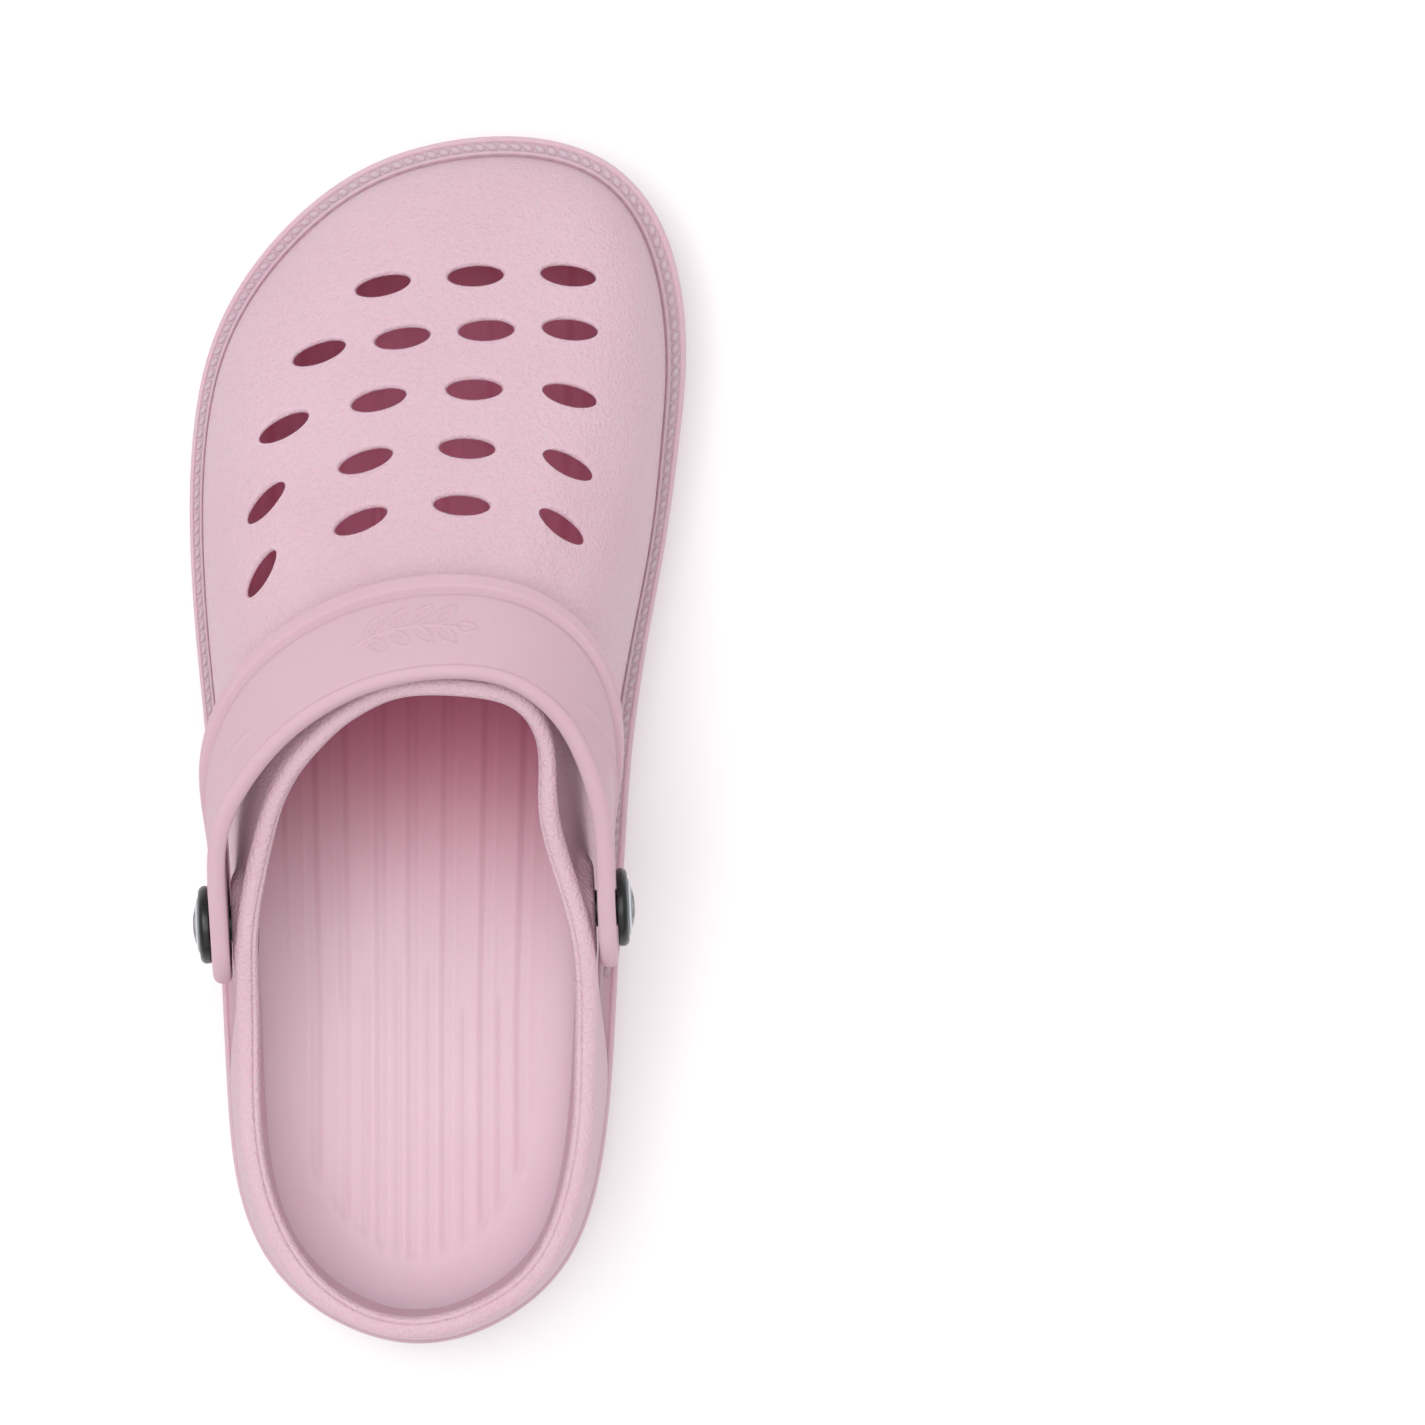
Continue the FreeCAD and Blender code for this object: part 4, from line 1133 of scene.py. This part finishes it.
@dataclass
class Rivet:
    """A two-part snap rivet on one side: cap with hollow stem, printed disc, and inner post."""
    pivot: Pivot
    side: int
    label: str
    face: float = 44.2
    seat: float = SEAT_AT_PIVOT
    stem_radius: float = 4.0
    bore_radius: float = 2.25
    shaft_radius: float = 2.2
    disc_radius: float = 6.4
    clear: float = 0.05

    def cap(self) -> Object:
        """Round cap: rolled bezel, recess for the disc, and the stem through strap and wall."""
        base = self.face + 0.1
        roll = np.linspace(0, math.pi / 2, 9)
        tip = self.seat + self.clear
        outline = [(tip, self.bore_radius), (tip, self.stem_radius), (base, self.stem_radius)]
        outline += [(base, 8.1), (base + 0.15, 8.4)]
        outline += [(base + 1.0 + 1.35 * math.sin(a), 7.15 + 1.35 * math.cos(a)) for a in roll]
        outline += [(base + 2.2, 6.62), (base + 2.0, 6.47), (base + 1.5, 6.45)]
        outline += [(base + 1.5, 3.0), (base - 0.8, self.bore_radius)]
        return turned("cap_" + self.label, self.pivot, self.side, outline, 96)

    def disc(self) -> Object:
        """Domed disc with a foil ring and a five-petal flower in low relief.

        The flower's edge is where the radius equals 2.9 + 1.1 cos(5 angle).
        """
        base = self.face + 1.6
        radius = np.concatenate([[self.disc_radius, self.disc_radius, 6.25], np.linspace(6.05, 0, 34)])
        dome = 0.9 + 1.3 * (1 - (radius / self.disc_radius) ** 2)
        angle = np.linspace(0, 2 * math.pi, 120, endpoint=False)
        r, a = np.broadcast_arrays(radius[:, None], angle[None])
        petals = 2.9 + 1.1 * np.cos(5 * a) - r
        ink = ease(-0.12, 0.12, petals) * ease(0.7, 0.9, r)
        foil = ease(4.95, 5.1, r) * ease(5.95, 5.8, r)
        height = dome[:, None] + 0.12 * foil + 0.08 * ink
        height[0] = 0.0
        height[1] = 0.72
        spoke = np.cos(a)[..., None] * self.pivot.across + np.sin(a)[..., None] * self.pivot.reach
        run = self.side * (base + height)[..., None]
        points = self.pivot.origin + run * self.pivot.along + r[..., None] * spoke
        back = np.broadcast_to(points[0].mean(0), (1, len(angle), 3))
        obj = grid_object("disc_" + self.label, np.concatenate([back, points]), False, True)
        for name, value in (("foil", foil), ("ink", ink)):
            layer = obj.data.attributes.new(name, "FLOAT", "POINT")
            value = np.concatenate([np.zeros((1, len(angle))), value])
            layer.data.foreach_set("value", value.astype(np.float32).ravel())
        close_up(obj)
        return obj

    def post(self) -> Object:
        """Inner half: shallow round head and the shaft that snaps into the stem."""
        seat = self.seat - self.clear
        roll = np.linspace(0, math.pi / 2, 7)
        outline = [(seat - 1.75, 0), (seat - 1.7, 4.0), (seat - 1.5, 6.0)]
        outline += [(seat - 0.5 - 0.9 * math.cos(a), 7.1 + 0.9 * math.sin(a)) for a in roll]
        end = self.face - 1.4
        outline += [(seat, 8.0), (seat, self.shaft_radius), (end - 0.2, self.shaft_radius)]
        outline += [(end, 2.0), (end, 0)]
        return turned("post_" + self.label, self.pivot, self.side, outline, 72)

    def build(self, plastic: Material, print_finish: Material) -> None:
        """Makes the three pieces and dresses them."""
        body = "rivet_" + self.label
        for obj, finish, slot, node in (
                (self.cap(), plastic, "rivet_plastic", "rivet_cap_"),
                (self.disc(), print_finish, "emblem_metal", "rivet_emblem_"),
                (self.post(), plastic, "rivet_plastic", "rivet_post_")):
            smooth(obj, 40)
            settle(obj, finish, body, node + self.label)


# ---- studio -------------------------------------------------------------------------------------
@dataclass
class Studio:
    """Plain pale floor, soft panels all round and a camera straight above."""
    view_width: float = 313.1
    aim: tuple[float, float, float] = (60.4, 6.0, 26.0)
    stand_off: float = 3000.0
    sensor: float = 36.0
    lamp_reach_m: float = 1.6

    def floor(self) -> None:
        """A wide pale sheet, with its own matt paint."""
        size = 6000.0
        corners = np.array([(-1, -1, 0), (1, -1, 0), (1, 1, 0), (-1, 1, 0)]) * size
        obj = mesh_object("floor", corners - np.array([0, 0, 0.02]), np.array([[0, 1, 2, 3]]))
        paint = bpy.data.materials.new("matt white paper")
        paint.use_nodes = True
        shader = paint.node_tree.nodes["Principled BSDF"]
        shader.inputs["Base Color"].default_value = linear("FCFCFC")
        shader.inputs["Roughness"].default_value = 0.9
        obj.data.materials.append(paint)

    def light(self) -> None:
        """A wide overhead glow, soft panels round the camera's line of sight, and an even white surround."""
        world = bpy.data.worlds.new("studio")
        bpy.context.scene.world = world
        world.use_nodes = True
        back = world.node_tree.nodes["Background"]
        back.inputs["Color"].default_value = linear("FFFFFF")
        back.inputs["Strength"].default_value = 0.6
        glow = bpy.data.lights.new("overhead glow", "SUN")
        glow.energy = 1.45
        glow.angle = math.radians(50)
        linked("overhead glow", glow).rotation_euler = (math.radians(-4), math.radians(-7), 0)
        for name, bearing, lift, power, size in (("key", 150, 58, 4.5, 1.1), ("fill", 20, 50, 2.0, 1.3),
                                                 ("rear", 265, 45, 2.5, 1.3)):
            lamp = bpy.data.lights.new(name, "AREA")
            lamp.energy = power
            lamp.size = size
            obj = linked(name, lamp)
            a, e = math.radians(bearing), math.radians(lift)
            way = np.array([math.cos(a) * math.cos(e), math.sin(a) * math.cos(e), math.sin(e)])
            obj.location = way * self.lamp_reach_m
            obj.rotation_euler = (QUARTER - e, 0, a + QUARTER)

    def camera(self) -> None:
        """Long lens looking straight down, with the toe at the top of the frame."""
        lens = bpy.data.cameras.new("overhead")
        lens.sensor_width = self.sensor
        lens.lens = self.sensor * self.stand_off / self.view_width
        lens.clip_end = 50.0
        obj = linked("overhead", lens)
        obj.location = (self.aim[0] * MM, self.aim[1] * MM, (self.aim[2] + self.stand_off) * MM)
        bpy.context.scene.camera = obj

    def build(self) -> None:
        """Sets the stage."""
        self.floor()
        self.light()
        self.camera()
        bpy.context.scene.view_settings.view_transform = "Standard"


def main() -> None:
    """Builds the clog on its last and sets the studio."""
    logging.basicConfig(level=logging.INFO, format="%(name)s: %(message)s")
    last = Last()
    pivot = Pivot()
    pebbled = MouldedFoam("moulded EVA foam, pebble", "D0B3BD", "CEAEBA", Relief.PEBBLE, height_mm=0.3)
    satin = MouldedFoam("moulded EVA foam, satin", "C9AAB5", "C7A6B2", Relief.SATIN)
    hatched = MouldedFoam("moulded EVA foam, hatched", "CBB0B9", "CAABB6", Relief.HATCH)
    # The footbed's foam takes painted shade in the toe box and painted light under the vents.
    ribbed = MouldedFoam("moulded EVA foam, footbed", "DCC2CC", "DABDC8", Relief.SATIN, toe_box_shade="C1718A")
    Sole(last).build(hatched.material())
    Footbed(last).build(ribbed.material())
    Upper(last, pivot).build(pebbled.material())
    Strap(pivot).build(satin.material())
    black = MouldedPlastic("moulded acetal, black", "101113", 0.28).material()
    printed = PrintedDisc("pad-printed disc", "6E7378", "C9CDD2", "2A2C30").material()
    for side, label in ((-1, "lateral"), (1, "medial")):
        Rivet(pivot, side, label).build(black, printed)
    Studio().build()


if __name__ == "__main__":
    main()
